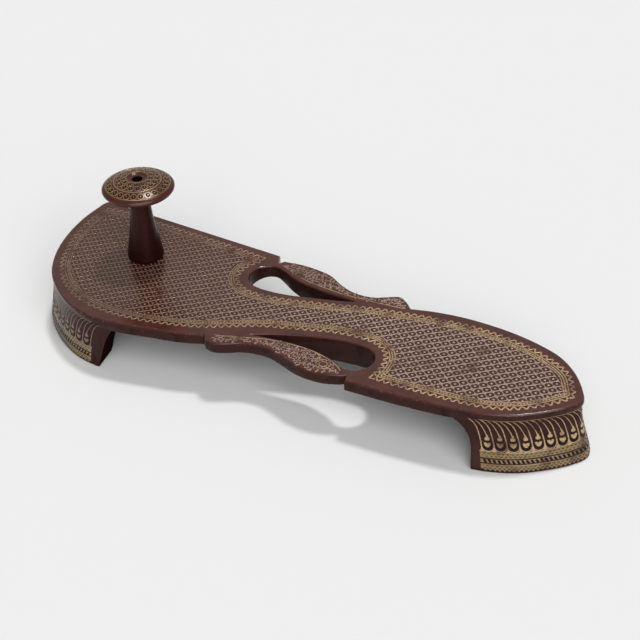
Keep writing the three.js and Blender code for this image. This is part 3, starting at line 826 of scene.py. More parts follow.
def turned_lacquer(name, flare, neck):
    """Hardwood lacquered on the lathe: nearly black, satin, paler up the neck as painted sheen, a little
    streaked.
    """
    material, tree, shader, place = new_finish(name, specular=0.08)
    height = node(tree, "ShaderNodeSeparateXYZ", inputs={"Vector": place}).outputs["Z"]
    # Painted sheen: the colour pales from the flare up the neck.
    rubbed = node(tree, "ShaderNodeMapRange", inputs={
        "Value": height, "From Min": NECK_HEIGHTS[0] * MM, "From Max": NECK_HEIGHTS[1] * MM,
    }).outputs["Result"]
    streaks = mottle(tree, place, size=3.0, low=0.3, high=0.9, stretch=(1, 1, 0.15))
    tree.links.new(layered(tree, flare, (rubbed, neck), (streaks, flare)), shader.inputs["Base Color"])
    sheen = node(tree, "ShaderNodeMapRange", inputs={
        "Value": mottle(tree, place, size=2.0, low=0.3, high=0.7), "To Min": 0.2, "To Max": 0.3,
    })
    tree.links.new(sheen.outputs["Result"], shader.inputs["Roughness"])
    return material


def gold_paint(name, gold, worn, lost, browned=None, metallic=0.15, rough=(0.15, 0.26), wear=0.5):
    """Gold paint brushed on lacquer: dull, with a little gleam, rubbed thin in specks and patches.

    Under the toes it may be browned. The higher its wear mark, the less of it is lost.
    """
    material, tree, shader, place = new_finish(name, specular=0.5)
    along = node(tree, "ShaderNodeSeparateXYZ", inputs={"Vector": place}).outputs["Y"]
    toes = node(tree, "ShaderNodeMapRange", inputs={
        "Value": along, "From Min": TOE_SHADE[0] * MM, "From Max": TOE_SHADE[1] * MM,
    }).outputs["Result"]
    specks = mottle(tree, place, size=0.8, low=0.5, high=0.72, detail=3.0)
    patches = mottle(tree, place, size=8.0, low=wear, high=wear + 0.3, detail=6.0)
    tint = layered(tree, gold, (specks, worn), (toes, browned or gold), (patches, lost))
    tree.links.new(tint, shader.inputs["Base Color"])
    sheen = node(tree, "ShaderNodeMapRange", inputs={"Value": specks, "To Min": rough[0], "To Max": rough[1]})
    tree.links.new(sheen.outputs["Result"], shader.inputs["Roughness"])
    shader.inputs["Metallic"].default_value = metallic
    return material


def white_paper(name, paper, fibres):
    """Matt white paper, so that only the soft shadow shows."""
    material, tree, shader, place = new_finish(name, specular=0.1)
    pulp = mottle(tree, place, size=0.6, low=0.3, high=0.7)
    tree.links.new(layered(tree, paper, (pulp, fibres)), shader.inputs["Base Color"])
    shader.inputs["Roughness"].default_value = 0.9
    return material


def finish(name):
    """A finish by its name, made the first time that a piece asks for it."""
    c = bpy.context.scene.paduka_colours
    makers = {
        # Warm maroon wood with the marks of age, and painted shade and highlights on its sides, hollows and
        # edge.
        "maroon_lacquered_hardwood": lambda: weathered_and_shaded(
            lacquered_hardwood(name, c.lacquer, c.lacquer_dark), c.flank, c.grime, c.worn_arris, c.chips
        ),
        # Deeper red between the lines of the field.
        "dark_lacquer_ground": lambda: lacquered_hardwood(name, c.ground, c.lacquer_dark),
        # Softer, browner gleam of the head.
        "brown_lacquered_hardwood": lambda: lacquered_hardwood(
            name, c.head_lacquer, c.lacquer_dark, rough=(0.18, 0.28), specular=0.3
        ),
        # Nearly black post, with painted sheen up its neck.
        "satin_black_lacquer": lambda: turned_lacquer(name, c.post_lacquer, c.post_rubbed),
        # Matt black paint that reads as depth in the cups and marks the rope; in the bore it is painted
        # shade.
        "black_lacquer_paint": lambda: lacquered_hardwood(
            name, c.black, c.black, rough=(0.4, 0.55), specular=0.15
        ),
        # Pale, rosy gold of the net and the scrolls.
        "tan_gold_paint": lambda: gold_paint(
            name, c.net_gold, c.worn_gold, c.lacquer, c.toe_gold, wear=0.54
        ),
        # Yellower, duller gold of the border and the strokes.
        "ochre_gold_paint": lambda: gold_paint(
            name, c.border_gold, c.worn_gold, c.lacquer, c.toe_gold, rough=(0.36, 0.5), wear=0.46
        ),
        # Dark old gold of the wall's bands.
        # Where this gold is lost, the wall shows the darker lacquer of upright faces, which is painted shade.
        "antique_gold_paint": lambda: gold_paint(name, c.wall_gold, c.worn_gold, c.flank),
        # Metallic gleam on the head.
        "bright_gold_paint": lambda: gold_paint(
            name, c.head_gold, c.worn_gold, c.head_lacquer, metallic=0.35, rough=(0.26, 0.4)
        ),
        # White floor.
        "matt_white_paper": lambda: white_paper(name, c.paper, c.paper_fibres),
    }
    return bpy.data.materials.get(name) or makers[name]()


def put(name, mesh, replaces=None):
    """Links a finished piece, hangs it on the root body, and hides the imported part that it replaces."""
    piece = bpy.data.objects.new(name, mesh)
    bpy.context.scene.collection.objects.link(piece)
    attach(piece, "root")
    if replaces:
        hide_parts(replaces)


def new_geometry_tree(name, sockets):
    """A geometry node group with a geometry in and out and the named inputs."""
    tree = bpy.data.node_groups.new(name, "GeometryNodeTree")
    for label, kind in (("Geometry", "Geometry"), *sockets):
        tree.interface.new_socket(label, in_out="INPUT", socket_type="NodeSocket" + kind)
    tree.interface.new_socket("Geometry", in_out="OUTPUT", socket_type="NodeSocketGeometry")
    return tree, node(tree, "NodeGroupInput").outputs


def close_tree(tree, instances, material):
    """The end of every tree: real geometry with its finish."""
    real = node(tree, "GeometryNodeRealizeInstances", inputs={"Geometry": instances})
    done = node(tree, "GeometryNodeSetMaterial", inputs={
        "Geometry": real.outputs["Geometry"], "Material": material,
    })
    node(tree, "NodeGroupOutput", inputs={"Geometry": done.outputs["Geometry"]})
    return tree


def net_tree():
    """Motifs on a staggered net, kept where the net lies over the patch."""
    tree, given = new_geometry_tree("Motifs on a staggered net", [
        ("Across", "Float"), ("Along", "Float"), ("Columns", "Int"), ("Rows", "Int"), ("Place", "Vector"),
        ("Turn", "Vector"), ("Loose turn", "Float"), ("Seed", "Int"), ("Motif", "Object"),
        ("Finish", "Material"),
    ])
    spans = []
    for count, pitch in (("Columns", "Across"), ("Rows", "Along")):
        steps = node(tree, "ShaderNodeMath", {"operation": "SUBTRACT"}, {0: given[count], 1: 1.0}).outputs[0]
        span = node(tree, "ShaderNodeMath", {"operation": "MULTIPLY"}, {0: steps, 1: given[pitch]})
        spans.append(span.outputs[0])
    grid = node(tree, "GeometryNodeMeshGrid", inputs={
        "Size X": spans[0], "Size Y": spans[1], "Vertices X": given["Columns"], "Vertices Y": given["Rows"],
    }).outputs["Mesh"]
    pitch = node(tree, "ShaderNodeCombineXYZ", inputs={"X": given["Across"], "Y": given["Along"]})
    half = node(tree, "ShaderNodeVectorMath", {"operation": "SCALE"}, {
        0: pitch.outputs["Vector"], "Scale": 0.5,
    }).outputs["Vector"]
    between = node(tree, "GeometryNodeTransform", inputs={"Geometry": grid, "Translation": half})
    joined = node(tree, "GeometryNodeJoinGeometry", inputs={"Geometry": grid})
    tree.links.new(between.outputs["Geometry"], joined.inputs["Geometry"])
    laid = node(tree, "GeometryNodeTransform", inputs={
        "Geometry": joined.outputs["Geometry"], "Translation": given["Place"], "Rotation": given["Turn"],
    }).outputs["Geometry"]
    above = node(tree, "ShaderNodeVectorMath", {"operation": "ADD"}, {
        0: node(tree, "GeometryNodeInputPosition").outputs["Position"], 1: (0, 0, RAY_START * MM),
    }).outputs["Vector"]
    hit = node(tree, "GeometryNodeRaycast", inputs={
        "Target Geometry": given["Geometry"], "Source Position": above,
        "Ray Direction": (0, 0, -1), "Ray Length": RAY_LENGTH * MM,
    }).outputs["Is Hit"]
    missed = node(tree, "FunctionNodeBooleanMath", {"operation": "NOT"}, {0: hit}).outputs[0]
    kept = node(tree, "GeometryNodeDeleteGeometry", {"domain": "POINT"}, {
        "Geometry": laid, "Selection": missed,
    }).outputs["Geometry"]
    motif = node(tree, "GeometryNodeObjectInfo", inputs={"Object": given["Motif"]}).outputs["Geometry"]
    back = node(tree, "ShaderNodeMath", {"operation": "MULTIPLY"}, {0: given["Loose turn"], 1: -1.0})
    loose = node(tree, "FunctionNodeRandomValue", {"data_type": "FLOAT"}, {
        "Seed": given["Seed"], 2: back.outputs[0], 3: given["Loose turn"],
    }).outputs[1]
    turn = node(tree, "ShaderNodeCombineXYZ", inputs={"Z": loose}).outputs["Vector"]
    turn = node(tree, "ShaderNodeVectorMath", {"operation": "ADD"}, {0: turn, 1: given["Turn"]})
    set_out = node(tree, "GeometryNodeInstanceOnPoints", inputs={
        "Points": kept, "Instance": motif, "Rotation": turn.outputs["Vector"],
    })
    return close_tree(tree, set_out.outputs["Instances"], given["Finish"])


def row_tree():
    """Motifs at even steps along the loops of the host mesh, facing along each loop."""
    tree, given = new_geometry_tree("Motifs in a row", [
        ("Step", "Float"), ("Motif", "Object"), ("Finish", "Material"),
    ])
    path = node(tree, "GeometryNodeMeshToCurve", inputs={"Mesh": given["Geometry"]}).outputs["Curve"]
    path = node(tree, "GeometryNodeResampleCurve", {"mode": "LENGTH"}, {
        "Curve": path, "Length": given["Step"],
    }).outputs["Curve"]
    ahead = node(tree, "GeometryNodeInputTangent").outputs["Tangent"]
    turn = node(tree, "FunctionNodeAlignRotationToVector", {"axis": "X", "pivot_axis": "Z"}, {
        "Vector": ahead,
    }).outputs["Rotation"]
    motif = node(tree, "GeometryNodeObjectInfo", inputs={"Object": given["Motif"]}).outputs["Geometry"]
    set_out = node(tree, "GeometryNodeInstanceOnPoints", inputs={
        "Points": path, "Instance": motif, "Rotation": turn,
    })
    return close_tree(tree, set_out.outputs["Instances"], given["Finish"])


def chart_tree():
    """Motifs in a row on a flat chart that is laid on the host's surface, mirrored from one of them on."""
    tree, given = new_geometry_tree("Motifs on a chart", [
        ("Chart size", "Vector"), ("Start", "Vector"), ("Step", "Vector"), ("Count", "Int"),
        ("Mirror from", "Int"), ("Loose", "Vector"), ("Seed", "Int"), ("Motif", "Object"),
        ("Mirrored motif", "Object"), ("Finish", "Material"),
    ])
    row = node(tree, "GeometryNodeMeshLine", inputs={
        "Count": given["Count"], "Start Location": given["Start"], "Offset": given["Step"],
    }).outputs["Mesh"]
    back = node(tree, "ShaderNodeVectorMath", {"operation": "SCALE"}, {
        0: given["Loose"], "Scale": -1.0,
    }).outputs["Vector"]
    stray = node(tree, "FunctionNodeRandomValue", {"data_type": "FLOAT_VECTOR"}, {
        0: back, 1: given["Loose"], "Seed": given["Seed"],
    }).outputs[0]
    row = node(tree, "GeometryNodeSetPosition", inputs={"Geometry": row, "Offset": stray}).outputs["Geometry"]
    number = node(tree, "GeometryNodeInputIndex").outputs["Index"]
    both = node(tree, "GeometryNodeJoinGeometry")
    for operation, motif in (("LESS_THAN", "Motif"), ("GREATER_EQUAL", "Mirrored motif")):
        mine = node(tree, "FunctionNodeCompare", {"data_type": "INT", "operation": operation}, {
            2: number, 3: given["Mirror from"],
        }).outputs["Result"]
        shape = node(tree, "GeometryNodeObjectInfo", inputs={"Object": given[motif]}).outputs["Geometry"]
        placed = node(tree, "GeometryNodeInstanceOnPoints", inputs={
            "Points": row, "Instance": shape, "Selection": mine,
        })
        tree.links.new(placed.outputs["Instances"], both.inputs["Geometry"])
    flat = node(tree, "GeometryNodeRealizeInstances", inputs={"Geometry": both.outputs["Geometry"]})
    spot = node(tree, "GeometryNodeInputPosition").outputs["Position"]
    share = node(tree, "ShaderNodeVectorMath", {"operation": "DIVIDE"}, {
        0: spot, 1: given["Chart size"],
    }).outputs["Vector"]
    lift = node(tree, "ShaderNodeSeparateXYZ", inputs={"Vector": spot}).outputs["Z"]
    named, sampled = [], []
    for name in ("chart", "place", "out"):
        read = node(tree, "GeometryNodeInputNamedAttribute", {"data_type": "FLOAT_VECTOR"}, {"Name": name})
        named.append(read.outputs["Attribute"])
    for value in named[1:]:
        sampled.append(node(tree, "GeometryNodeSampleUVSurface", {"data_type": "FLOAT_VECTOR"}, {
            "Mesh": given["Geometry"], "Value": value, "Source UV Map": named[0], "Sample UV": share,
        }).outputs["Value"])
    laid = node(tree, "ShaderNodeVectorMath", {"operation": "MULTIPLY_ADD"}, {
        0: sampled[1], 1: lift, 2: sampled[0],
    }).outputs["Vector"]
    done = node(tree, "GeometryNodeSetPosition", inputs={
        "Geometry": flat.outputs["Geometry"], "Position": laid,
    })
    return close_tree(tree, done.outputs["Geometry"], given["Finish"])


def grow_nodes(name, host_mesh, make_tree, values):
    """Runs a node tree on a host mesh and returns the result as a plain mesh. Motifs are given as meshes."""
    host = bpy.data.objects.new(name, host_mesh)
    bpy.context.scene.collection.objects.link(host)
    modifier = host.modifiers.new("Ornament", "NODES")
    group = modifier.node_group = make_tree()
    motifs = []
    for item in group.interface.items_tree:
        if item.in_out == "INPUT" and item.name in values:
            value = values[item.name]
            if isinstance(value, bpy.types.Mesh):
                value = bpy.data.objects.new(item.name, value)
                motifs.append(value)
            modifier[item.identifier] = value
    mesh = bpy.data.meshes.new_from_object(host.evaluated_get(bpy.context.evaluated_depsgraph_get()))
    host.modifiers.clear()
    for used in (host, *motifs):
        bpy.data.objects.remove(used)
    bpy.data.node_groups.remove(group)
    if not mesh.polygons:
        raise RuntimeError(f"{name} came out empty")
    mesh.name = name
    mesh.shade_smooth()
    return mesh


def chart_mesh(name, place, along, across):
    """A surface for charts: a grid of places with its chart, its true positions and its outward direction."""
    u, v = (grid.ravel() for grid in np.meshgrid(along, across, indexing="ij"))
    low, high = place(u, v, 0.0), place(u, v, CHART_LIFT)
    surface = Surface()
    surface.loft(high.reshape(len(along), len(across), 3), closed=False)
    mesh = bpy.data.meshes.new(name)
    mesh.from_pydata(low * MM, [], surface.faces)
    flat = np.stack([u / along[-1], v / across[-1], np.zeros(len(u))], -1)
    for label, values in (("chart", flat), ("place", low * MM), ("out", (high - low) / CHART_LIFT)):
        attribute = mesh.attributes.new(label, "FLOAT_VECTOR", "POINT")
        attribute.data.foreach_set("vector", values.astype(np.float32).ravel())
    return mesh


def loop_mesh(name, loop):
    """Edges of a closed loop of points in millimetres, for a row to follow."""
    mesh = bpy.data.meshes.new(name)
    mesh.from_pydata(loop * MM, loop_edges([loop]), [])
    return mesh


def flat_place(height):
    """Lays charted shapes on the plane at a height in millimetres."""
    return lambda x, y, lift: np.stack([x, y, np.full(np.shape(x), height) + lift], -1)


def sizes():
    """The sandal's sizes in millimetres, by name."""
    group = bpy.context.scene.paduka_sizes
    named = {key: getattr(group, key) for key in group.__annotations__}
    return {key: value if key in ("seed", "net_turn") else value / MM for key, value in named.items()}


def walls():
    """The outer faces of the two supports."""
    outline = plate_outline()
    toe = Wall(outline, TOE_WALL, TOE_HOLLOW, TOE_HOLLOW_FACE)
    heel = Wall(outline, HEEL_WALL, HEEL_HOLLOW, HEEL_HOLLOW_FACE)
    return toe, heel


class PADUKA_OT_sole(bpy.types.Operator):
    """Carve the sole: plate with pierced waist, toe support and heel support"""

    bl_idname = "paduka.sole"
    bl_label = "Sole"

    def execute(self, context):
        size = sizes()
        top, under = size["plate_top"], size["plate_top"] - size["plate_thickness"]
        outline, slots = plate_outline(), slot_outlines()
        plate = self.plate(size, top, under, outline, slots)
        supports = [self.support(wall, top - size["rim_height"]) for wall in walls()]
        mesh = self.joined(plate, supports)
        self.mark_wear(mesh, outline, top)
        self.mark_hollows(mesh, outline, under)
        put("sole", mesh, "sole")
        return {"FINISHED"}

    def plate(self, size, top, under, outline, slots):
        """The plate, with a rounded upper edge and a rim that stands out over the supports."""
        rim, radius = top - size["rim_height"], size["arris"]
        past = np.maximum(past_legs(TOE_HOLLOW, outline), past_legs(HEEL_HOLLOW, outline))
        share = np.clip(1 + past / SUPPORT_OVERLAP, 0, 1)
        step = size["rim_step"] * share**2 * (3 - 2 * share)
        # Columns: height, growth of the outline, growth of the slots.
        profile = [(under + rise, -step - draw, -draw) for rise, draw in UNDER_EDGE]
        profile += [(rim + rise, -step * part, 0) for rise, part in RIM_EDGE]
        for angle in np.radians(np.linspace(0, 90, ARRIS_STEPS)):
            draw = radius * (math.cos(angle) - 1)
            profile.append((top - radius + radius * math.sin(angle), draw, draw))
        profile.append((top, -radius - ARRIS_FLAT, -radius - ARRIS_FLAT))
        surface = Surface()
        for number, loop in enumerate([outline, *slots]):
            rows = []
            for height, edge, slot in profile:
                row = grown(loop, slot if number else edge)
                sag = belly(row) * (height < (under + rim) / 2)
                rows.append(np.column_stack([row, np.full(len(row), height) - sag]))
            surface.loft(rows)
        (_, low_edge, low_slot), (_, top_edge, top_slot) = profile[0], profile[-1]
        top_holes, low_holes = ([grown(slot, growth) for slot in slots] for growth in (top_slot, low_slot))
        surface.cap(top, grown(outline, top_edge), top_holes, [(field_edge(), 1)])
        surface.cap(under, grown(outline, low_edge), low_holes, up=False, bulge=belly)
        return surface.mesh("plate", [finish("maroon_lacquered_hardwood"), finish("dark_lacquer_ground")])

    def support(self, wall, rim):
        """A horseshoe support, from the floor up into the plate."""
        heights = [*FOOT_HEIGHTS, *np.linspace(*WALL_HEIGHTS)]
        count = round(wall.length / EDGE_STEP)
        loops = [wall.loop(height, count) for height in heights]
        loops.append(loops[-1] + (0, 0, rim - heights[-1] - RIM_GAP))
        surface = Surface()
        surface.loft(loops)
        surface.cap(0.0, loops[0][:, :2], up=False)
        surface.cap(loops[-1][0, 2], loops[-1][:, :2])
        return surface.mesh("support", [finish("maroon_lacquered_hardwood")])

    def joined(self, plate, supports):
        """The plate and its supports as one closed skin."""
        host = bpy.data.objects.new("plate", plate)
        bpy.context.scene.collection.objects.link(host)
        helpers = []
        for mesh in supports:
            helper = bpy.data.objects.new("support", mesh)
            bpy.context.scene.collection.objects.link(helper)
            helpers.append(helper)
            join = host.modifiers.new("Join", "BOOLEAN")
            join.operation, join.solver, join.object = "UNION", "EXACT", helper
        mesh = bpy.data.meshes.new_from_object(host.evaluated_get(bpy.context.evaluated_depsgraph_get()))
        for used in (host, *helpers):
            bpy.data.objects.remove(used)
        mesh.name = "sole"
        mesh.shade_smooth()
        mesh.set_sharp_from_angle(angle=SHARP_CORNER)
        return mesh

    def mark_wear(self, mesh, outline, top):
        """Marks from 0 to 1 how rubbed each point near the plate's edge is, which also places painted shade
        and highlights there, and how upright its surface, which places painted shade.
        """
        points, out = np.zeros((2, len(mesh.vertices) * 3), np.float32)
        mesh.vertices.foreach_get("co", points)
        mesh.vertex_normals.foreach_get("vector", out)
        points, out = points.reshape(-1, 3) / MM, out.reshape(-1, 3)
        away = np.array([np.min(np.linalg.norm(outline - p[:2], axis=1)) for p in points])
        near = np.clip(RUB_STRENGTH - away / RUB_WIDTH, 0, 1)
        arris = near * np.clip((points[:, 2] - top + RUB_DEPTH) / RUB_FADE, 0, 1)
        # Painted shade: the more upright a face, the darker and duller it is made.
        flank = np.clip(DUST_AND_SHADE_STRENGTH - DUST_AND_SHADE_LOSS * out[:, 2], 0, 1)
        for name, values in (("arris", arris), ("flank", flank)):
            mesh.attributes.new(name, "FLOAT", "POINT").data.foreach_set("value", values.astype(np.float32))

    def mark_hollows(self, mesh, outline, under):
        """Marks the faces of the supports that turn away from the plate's edge: leg ends and hollows, which
        are given painted shade.
        """
        middle, out = np.zeros((2, len(mesh.polygons) * 3), np.float32)
        mesh.polygons.foreach_get("center", middle)
        mesh.polygons.foreach_get("normal", out)
        middle, out = middle.reshape(-1, 3) / MM, out.reshape(-1, 3)
        nearest = [np.argmin(np.linalg.norm(outline - point[:2], axis=1)) for point in middle]
        turned = np.sum(normals(outline)[nearest] * out[:, :2], axis=1) < HOLLOW_TURN
        hollow = turned & (middle[:, 2] < under) & (belly(middle) == 0)
        attribute = mesh.attributes.new("hollow", "FLOAT", "FACE")
        attribute.data.foreach_set("value", hollow.astype(np.float32))


def turned_mesh(name, profile, materials, inner_rows=0):
    """A solid turned about the post's axis, its last rows in the last material.

    Columns of the profile: radius, height above the plate's top.
    """
    top = sizes()["plate_top"]
    rows = []
    for radius, height in profile:
        ring = disc(*POST_PLACE, radius, TURNED_SIDES)
        rows.append(np.column_stack([ring, np.full(TURNED_SIDES, top + height)]))
    surface = Surface()
    surface.loft(rows)
    for face in range(len(surface.faces) - inner_rows * TURNED_SIDES, len(surface.faces)):
        surface.slots[face] = len(materials) - 1
    return surface.mesh(name, materials)


class PADUKA_OT_toe_post(bpy.types.Operator):
    """Turn the flared toe post with its peg and tenon"""

    bl_idname = "paduka.toe_post"
    bl_label = "Toe post"

    def execute(self, context):
        profile = np.vstack([PEG_END, PEG_TOP, smooth(POST_SIDE, POST_STEP), TENON])
        mesh = turned_mesh("toe_post", profile, [finish("satin_black_lacquer")])
        put("toe_post", mesh, "toe_post")
        return {"FINISHED"}


class PADUKA_OT_post_head(bpy.types.Operator):
    """Turn the lens-shaped head with its bore"""

    bl_idname = "paduka.post_head"
    bl_label = "Post head"

    def execute(self, context):
        profile = np.vstack([BORE_FOOT, smooth(HEAD_SIDE, HEAD_STEP), BORE_FOOT])
        # The bore's lining is made black: painted shade in the hole.
        materials = [finish("brown_lacquered_hardwood"), finish("black_lacquer_paint")]
        mesh = turned_mesh("post_head", profile, materials, inner_rows=1)
        put("post_head", mesh, "post_head")
        return {"FINISHED"}


class PADUKA_OT_field_net(bpy.types.Operator):
    """Paint the net of eyes that fills the plate's field"""

    bl_idname = "paduka.field_net"
    bl_label = "Field net"

    def execute(self, context):
        size = sizes()
        top = size["plate_top"]
        patch = Surface()
        patch.cap(top, inset(field_edge(), size["band_width"] * NET_MARGIN))
        pitch = size["cell_across"], size["cell_along"]
        columns, rows = (round(reach / step) for reach, step in zip(NET_REACH, pitch))
        mesh = grow_nodes("field_net", patch.mesh("patch", []), net_tree, {
            "Across": pitch[0] * MM, "Along": pitch[1] * MM, "Columns": columns, "Rows": rows,
            "Place": (NET_PLACE[0] * MM, NET_PLACE[1] * MM, top * MM), "Turn": (0, 0, size["net_turn"]),
            "Loose turn": NET_LOOSE, "Seed": size["seed"],
            "Finish": finish("tan_gold_paint"), "Motif": self.cell(size),
        })
        put("field_net", mesh)
        return {"FINISHED"}

    def cell(self, size):
        """One diamond of the net, open to the dark ground, with a spot in its eye."""
        ring = disc(0, 0, 1, CELL_SIDES)
        across, along = np.abs(ring.T) / np.array([[size["cell_across"] / 2], [size["cell_along"] / 2]])
        rim = ring / (across + along)[:, None]
        eye = EYE_SIZE * ring / (across**EYE_POWER + along**EYE_POWER)[:, None] ** (1 / EYE_POWER)
        relief = Relief(flat_place(0.0), size["relief"])
        crest = rim * CREST_WEIGHTS[0] + eye * CREST_WEIGHTS[1]
        relief.loft([
            relief.laid(rim, relief.lift * SEAM_LIFT), relief.laid(crest, relief.lift),
            relief.laid(eye, -PAINT_SINK),
        ])
        relief.spot(disc(0, 0, *EYE_SPOT))
        return relief.mesh("cell", [])


class PADUKA_OT_border(bpy.types.Operator):
    """Paint the gold band with its saw-teeth round the field"""

    bl_idname = "paduka.border"
    bl_label = "Border"

    def execute(self, context):
        size = sizes()
        top, width = size["plate_top"], size["band_width"]
        lift, pitch = size["relief"], size["tooth_pitch"]
        edge, gold = field_edge(), finish("ochre_gold_paint")
        band = Relief(flat_place(top), lift * BORDER_LIFT)
        for outer, inner in BORDER_BANDS:
            band.band(inset(edge, width * outer), inset(edge, width * inner))
        put("border_band", band.mesh("border_band", [gold]))
        tooth, bead = Relief(flat_place(0.0), lift), Relief(flat_place(0.0), lift)
        half, (foot, shoulder, tip) = pitch / 2, TOOTH_HEIGHTS
        right = np.array([(TOOTH_TIP, tip), (half / 2, shoulder), (half, foot)])
        tooth.line(np.vstack([right[::-1] * (-1, 1), right]), TOOTH_LINE)
        bead.spot(BEAD)
        self.row("border_teeth", edge, top, pitch, tooth, gold)
        self.row("border_beads", inset(edge, width * BEAD_ROW), top, pitch * BEAD_STEP, bead, gold)
        return {"FINISHED"}

    def row(self, name, loop, height, step, motif, material):
        """A row of one motif along a loop at a height."""
        host = loop_mesh(name, np.column_stack([loop, np.full(len(loop), height)]))
        mesh = grow_nodes(name, host, row_tree, {
            "Step": step * MM, "Finish": material, "Motif": motif.mesh("motif", []),
        })
        put(name, mesh)


class PADUKA_OT_leaf_bars(bpy.types.Operator):
    """Paint the scrolls on the two leaf-shaped bars"""

    bl_idname = "paduka.leaf_bars"
    bl_label = "Leaf bars"

    def execute(self, context):
        size = sizes()
        top, lift = size["plate_top"], size["relief"]
        gold = finish("tan_gold_paint")
        patch, lines = Surface(), Relief(flat_place(top), lift)
        x, y, radius = ROSETTE
        for table, slot_side in ((OUTER_LEAF, 2), (INNER_LEAF, 1)):
            clear = disc(x, y, radius + ROSETTE_CLEAR, ROSETTE_SIDES)
            patch.cap(top, grown(leaf_outline(table), -LEAF_INSET), [clear])
            lines.line(smooth(column(table, slot_side)), LEAF_LINE)
        for share, width in ROSETTE_RINGS:
            lines.line(disc(x, y, radius * share, ROSETTE_SIDES), width, closed=True)
        for petal in disc(x, y, radius * PETAL_RING, PETAL_COUNT):
            lines.spot(disc(*petal, *PETAL))
        put("leaf_lines", lines.mesh("leaf_lines", [finish("ochre_gold_paint")]))
        mesh = grow_nodes("leaf_curls", patch.mesh("patch", []), net_tree, {
            "Across": CURL_PITCH[0] * MM, "Along": CURL_PITCH[1] * MM,
            "Columns": CURL_COUNT[0], "Rows": CURL_COUNT[1],
            "Place": (CURL_PLACE[0] * MM, CURL_PLACE[1] * MM, top * MM), "Turn": (0, 0, CURL_TURN),
            "Loose turn": math.pi, "Seed": size["seed"], "Finish": gold, "Motif": self.curl(lift),
        })
        put("leaf_curls", mesh)
        return {"FINISHED"}

    def curl(self, lift):
        """One scroll that winds in and thins, with a spot beside it."""
        angle = np.radians(np.linspace(*CURL_ANGLES, CURL_POINTS))
        reach, width = (np.linspace(*ends, CURL_POINTS) for ends in (CURL_RADII, CURL_WIDTHS))
        relief = Relief(flat_place(0.0), lift)
        relief.line(np.stack([reach * np.cos(angle), reach * np.sin(angle)], -1), width)
        relief.spot(disc(*CURL_SPOT))
        return relief.mesh("curl", [])


class PADUKA_OT_wall_paint(bpy.types.Operator):
    """Paint the strokes, buds, cups and bands on the walls of both supports"""

    bl_idname = "paduka.wall_paint"
    bl_label = "Wall paint"

    def execute(self, context):
        size = sizes()
        gold, dark = finish("antique_gold_paint"), finish("black_lacquer_paint")
        light = finish("ochre_gold_paint")
        for name, wall, turn in zip(("toe_wall", "heel_wall"), walls(), WALL_TURNS):
            reach = wall.length - 2 * WALL_MARGIN
            count = round(reach / size["unit_pitch"])
            pitch = reach / count
            dashes = round(count * DASHES_PER_UNIT)
            step = reach / dashes
            along = np.arange(0.0, wall.length + 2 * WALL_LEAD, WALL_CHART_STEP)
            across = np.linspace(0.0, WALL_CHART_TOP, WALL_CHART_ROWS)

            def place(x, height, lift):
                return wall.at(x - WALL_LEAD, height, lift)

            def motif(make, lean):
                return make(Relief(flat_place(0.0), size["relief"]), lean).mesh("motif", [])

            # Columns: name of the row, its motif, count, spacing, how far a motif strays, paint.
            for part, make, number, spacing, loose, paint in (
                ("strokes", self.strokes, count, pitch, 0.1, light),
                ("cups", self.cups, count, pitch, 0.1, dark),
                ("dashes", self.dashes, dashes, step, 0.05, dark),
                ("teeth", self.tooth, dashes, step, 0.08, gold),
            ):
                start = WALL_LEAD + WALL_MARGIN + spacing / 2
                mesh = grow_nodes(f"{name}_{part}", chart_mesh("chart", place, along, across), chart_tree, {
                    "Chart size": (along[-1] * MM, across[-1] * MM, 1.0), "Start": (start * MM, 0, 0),
                    "Step": (spacing * MM, 0, 0), "Count": number, "Mirror from": round(number * turn),
                    "Seed": size["seed"], "Loose": (loose * MM, loose * MM, 0),
                    "Motif": motif(make, 1), "Mirrored motif": motif(make, -1), "Finish": paint,
                })
                put(f"{name}_{part}", mesh)
            self.bands(name, wall, size["relief"], gold)
        return {"FINISHED"}

    def strokes(self, gold, lean):
        """The gold of one unit: two strokes that lean to the waist, a bud, and a cup line with a heart."""
        turn = (lean, 1)
        for table, widest in STROKES:
            path = smooth(table, STROKE_STEP) * turn
            gold.line(path, widest * np.linspace(THIN_END, 1.0, len(path)))
        gold.line(smooth(CUP_LINE, STROKE_STEP), CUP_LINE_WIDTH)
        gold.spot(np.array(SPANDREL) * turn)
        gold.spot(np.array(BUD) * turn, BUD_RISE)
        gold.spot(HEART, HEART_RISE)
        return gold

    def cups(self, dark, lean):
        """The black of one unit: the shade under the bud and the hollow of the cup."""
        for table in (SHADE, CUP):
            dark.spot(np.array(table) * (lean, 1), CUP_RISE)
        return dark

    def dashes(self, dark, lean):
        """One slanted dash of the rope, and the marks in the bands above and below it."""
        dark.spot(np.array(DASH) * (lean, 1), DASH_RISE)
        for x, height in MARK_PLACES:
            dark.spot(np.array(MARK) * (lean, 1) + (x * lean, height), DASH_RISE)
        return dark

    def tooth(self, gold, lean):
        """One tooth below the bands, the same either way round."""
        gold.spot(WALL_TOOTH)
        return gold

    def bands(self, name, wall, lift, paint):
        """The plain gold bands along the wall."""
        bands = Relief(wall.at, lift)
        along = np.arange(WALL_MARGIN - BAND_REACH, wall.length - WALL_MARGIN + BAND_REACH, BAND_STEP)
        for height, width in WALL_BANDS:
            bands.line(np.column_stack([along, np.full(len(along), height)]), width)
        put(name + "_bands", bands.mesh(name + "_bands", [paint]))


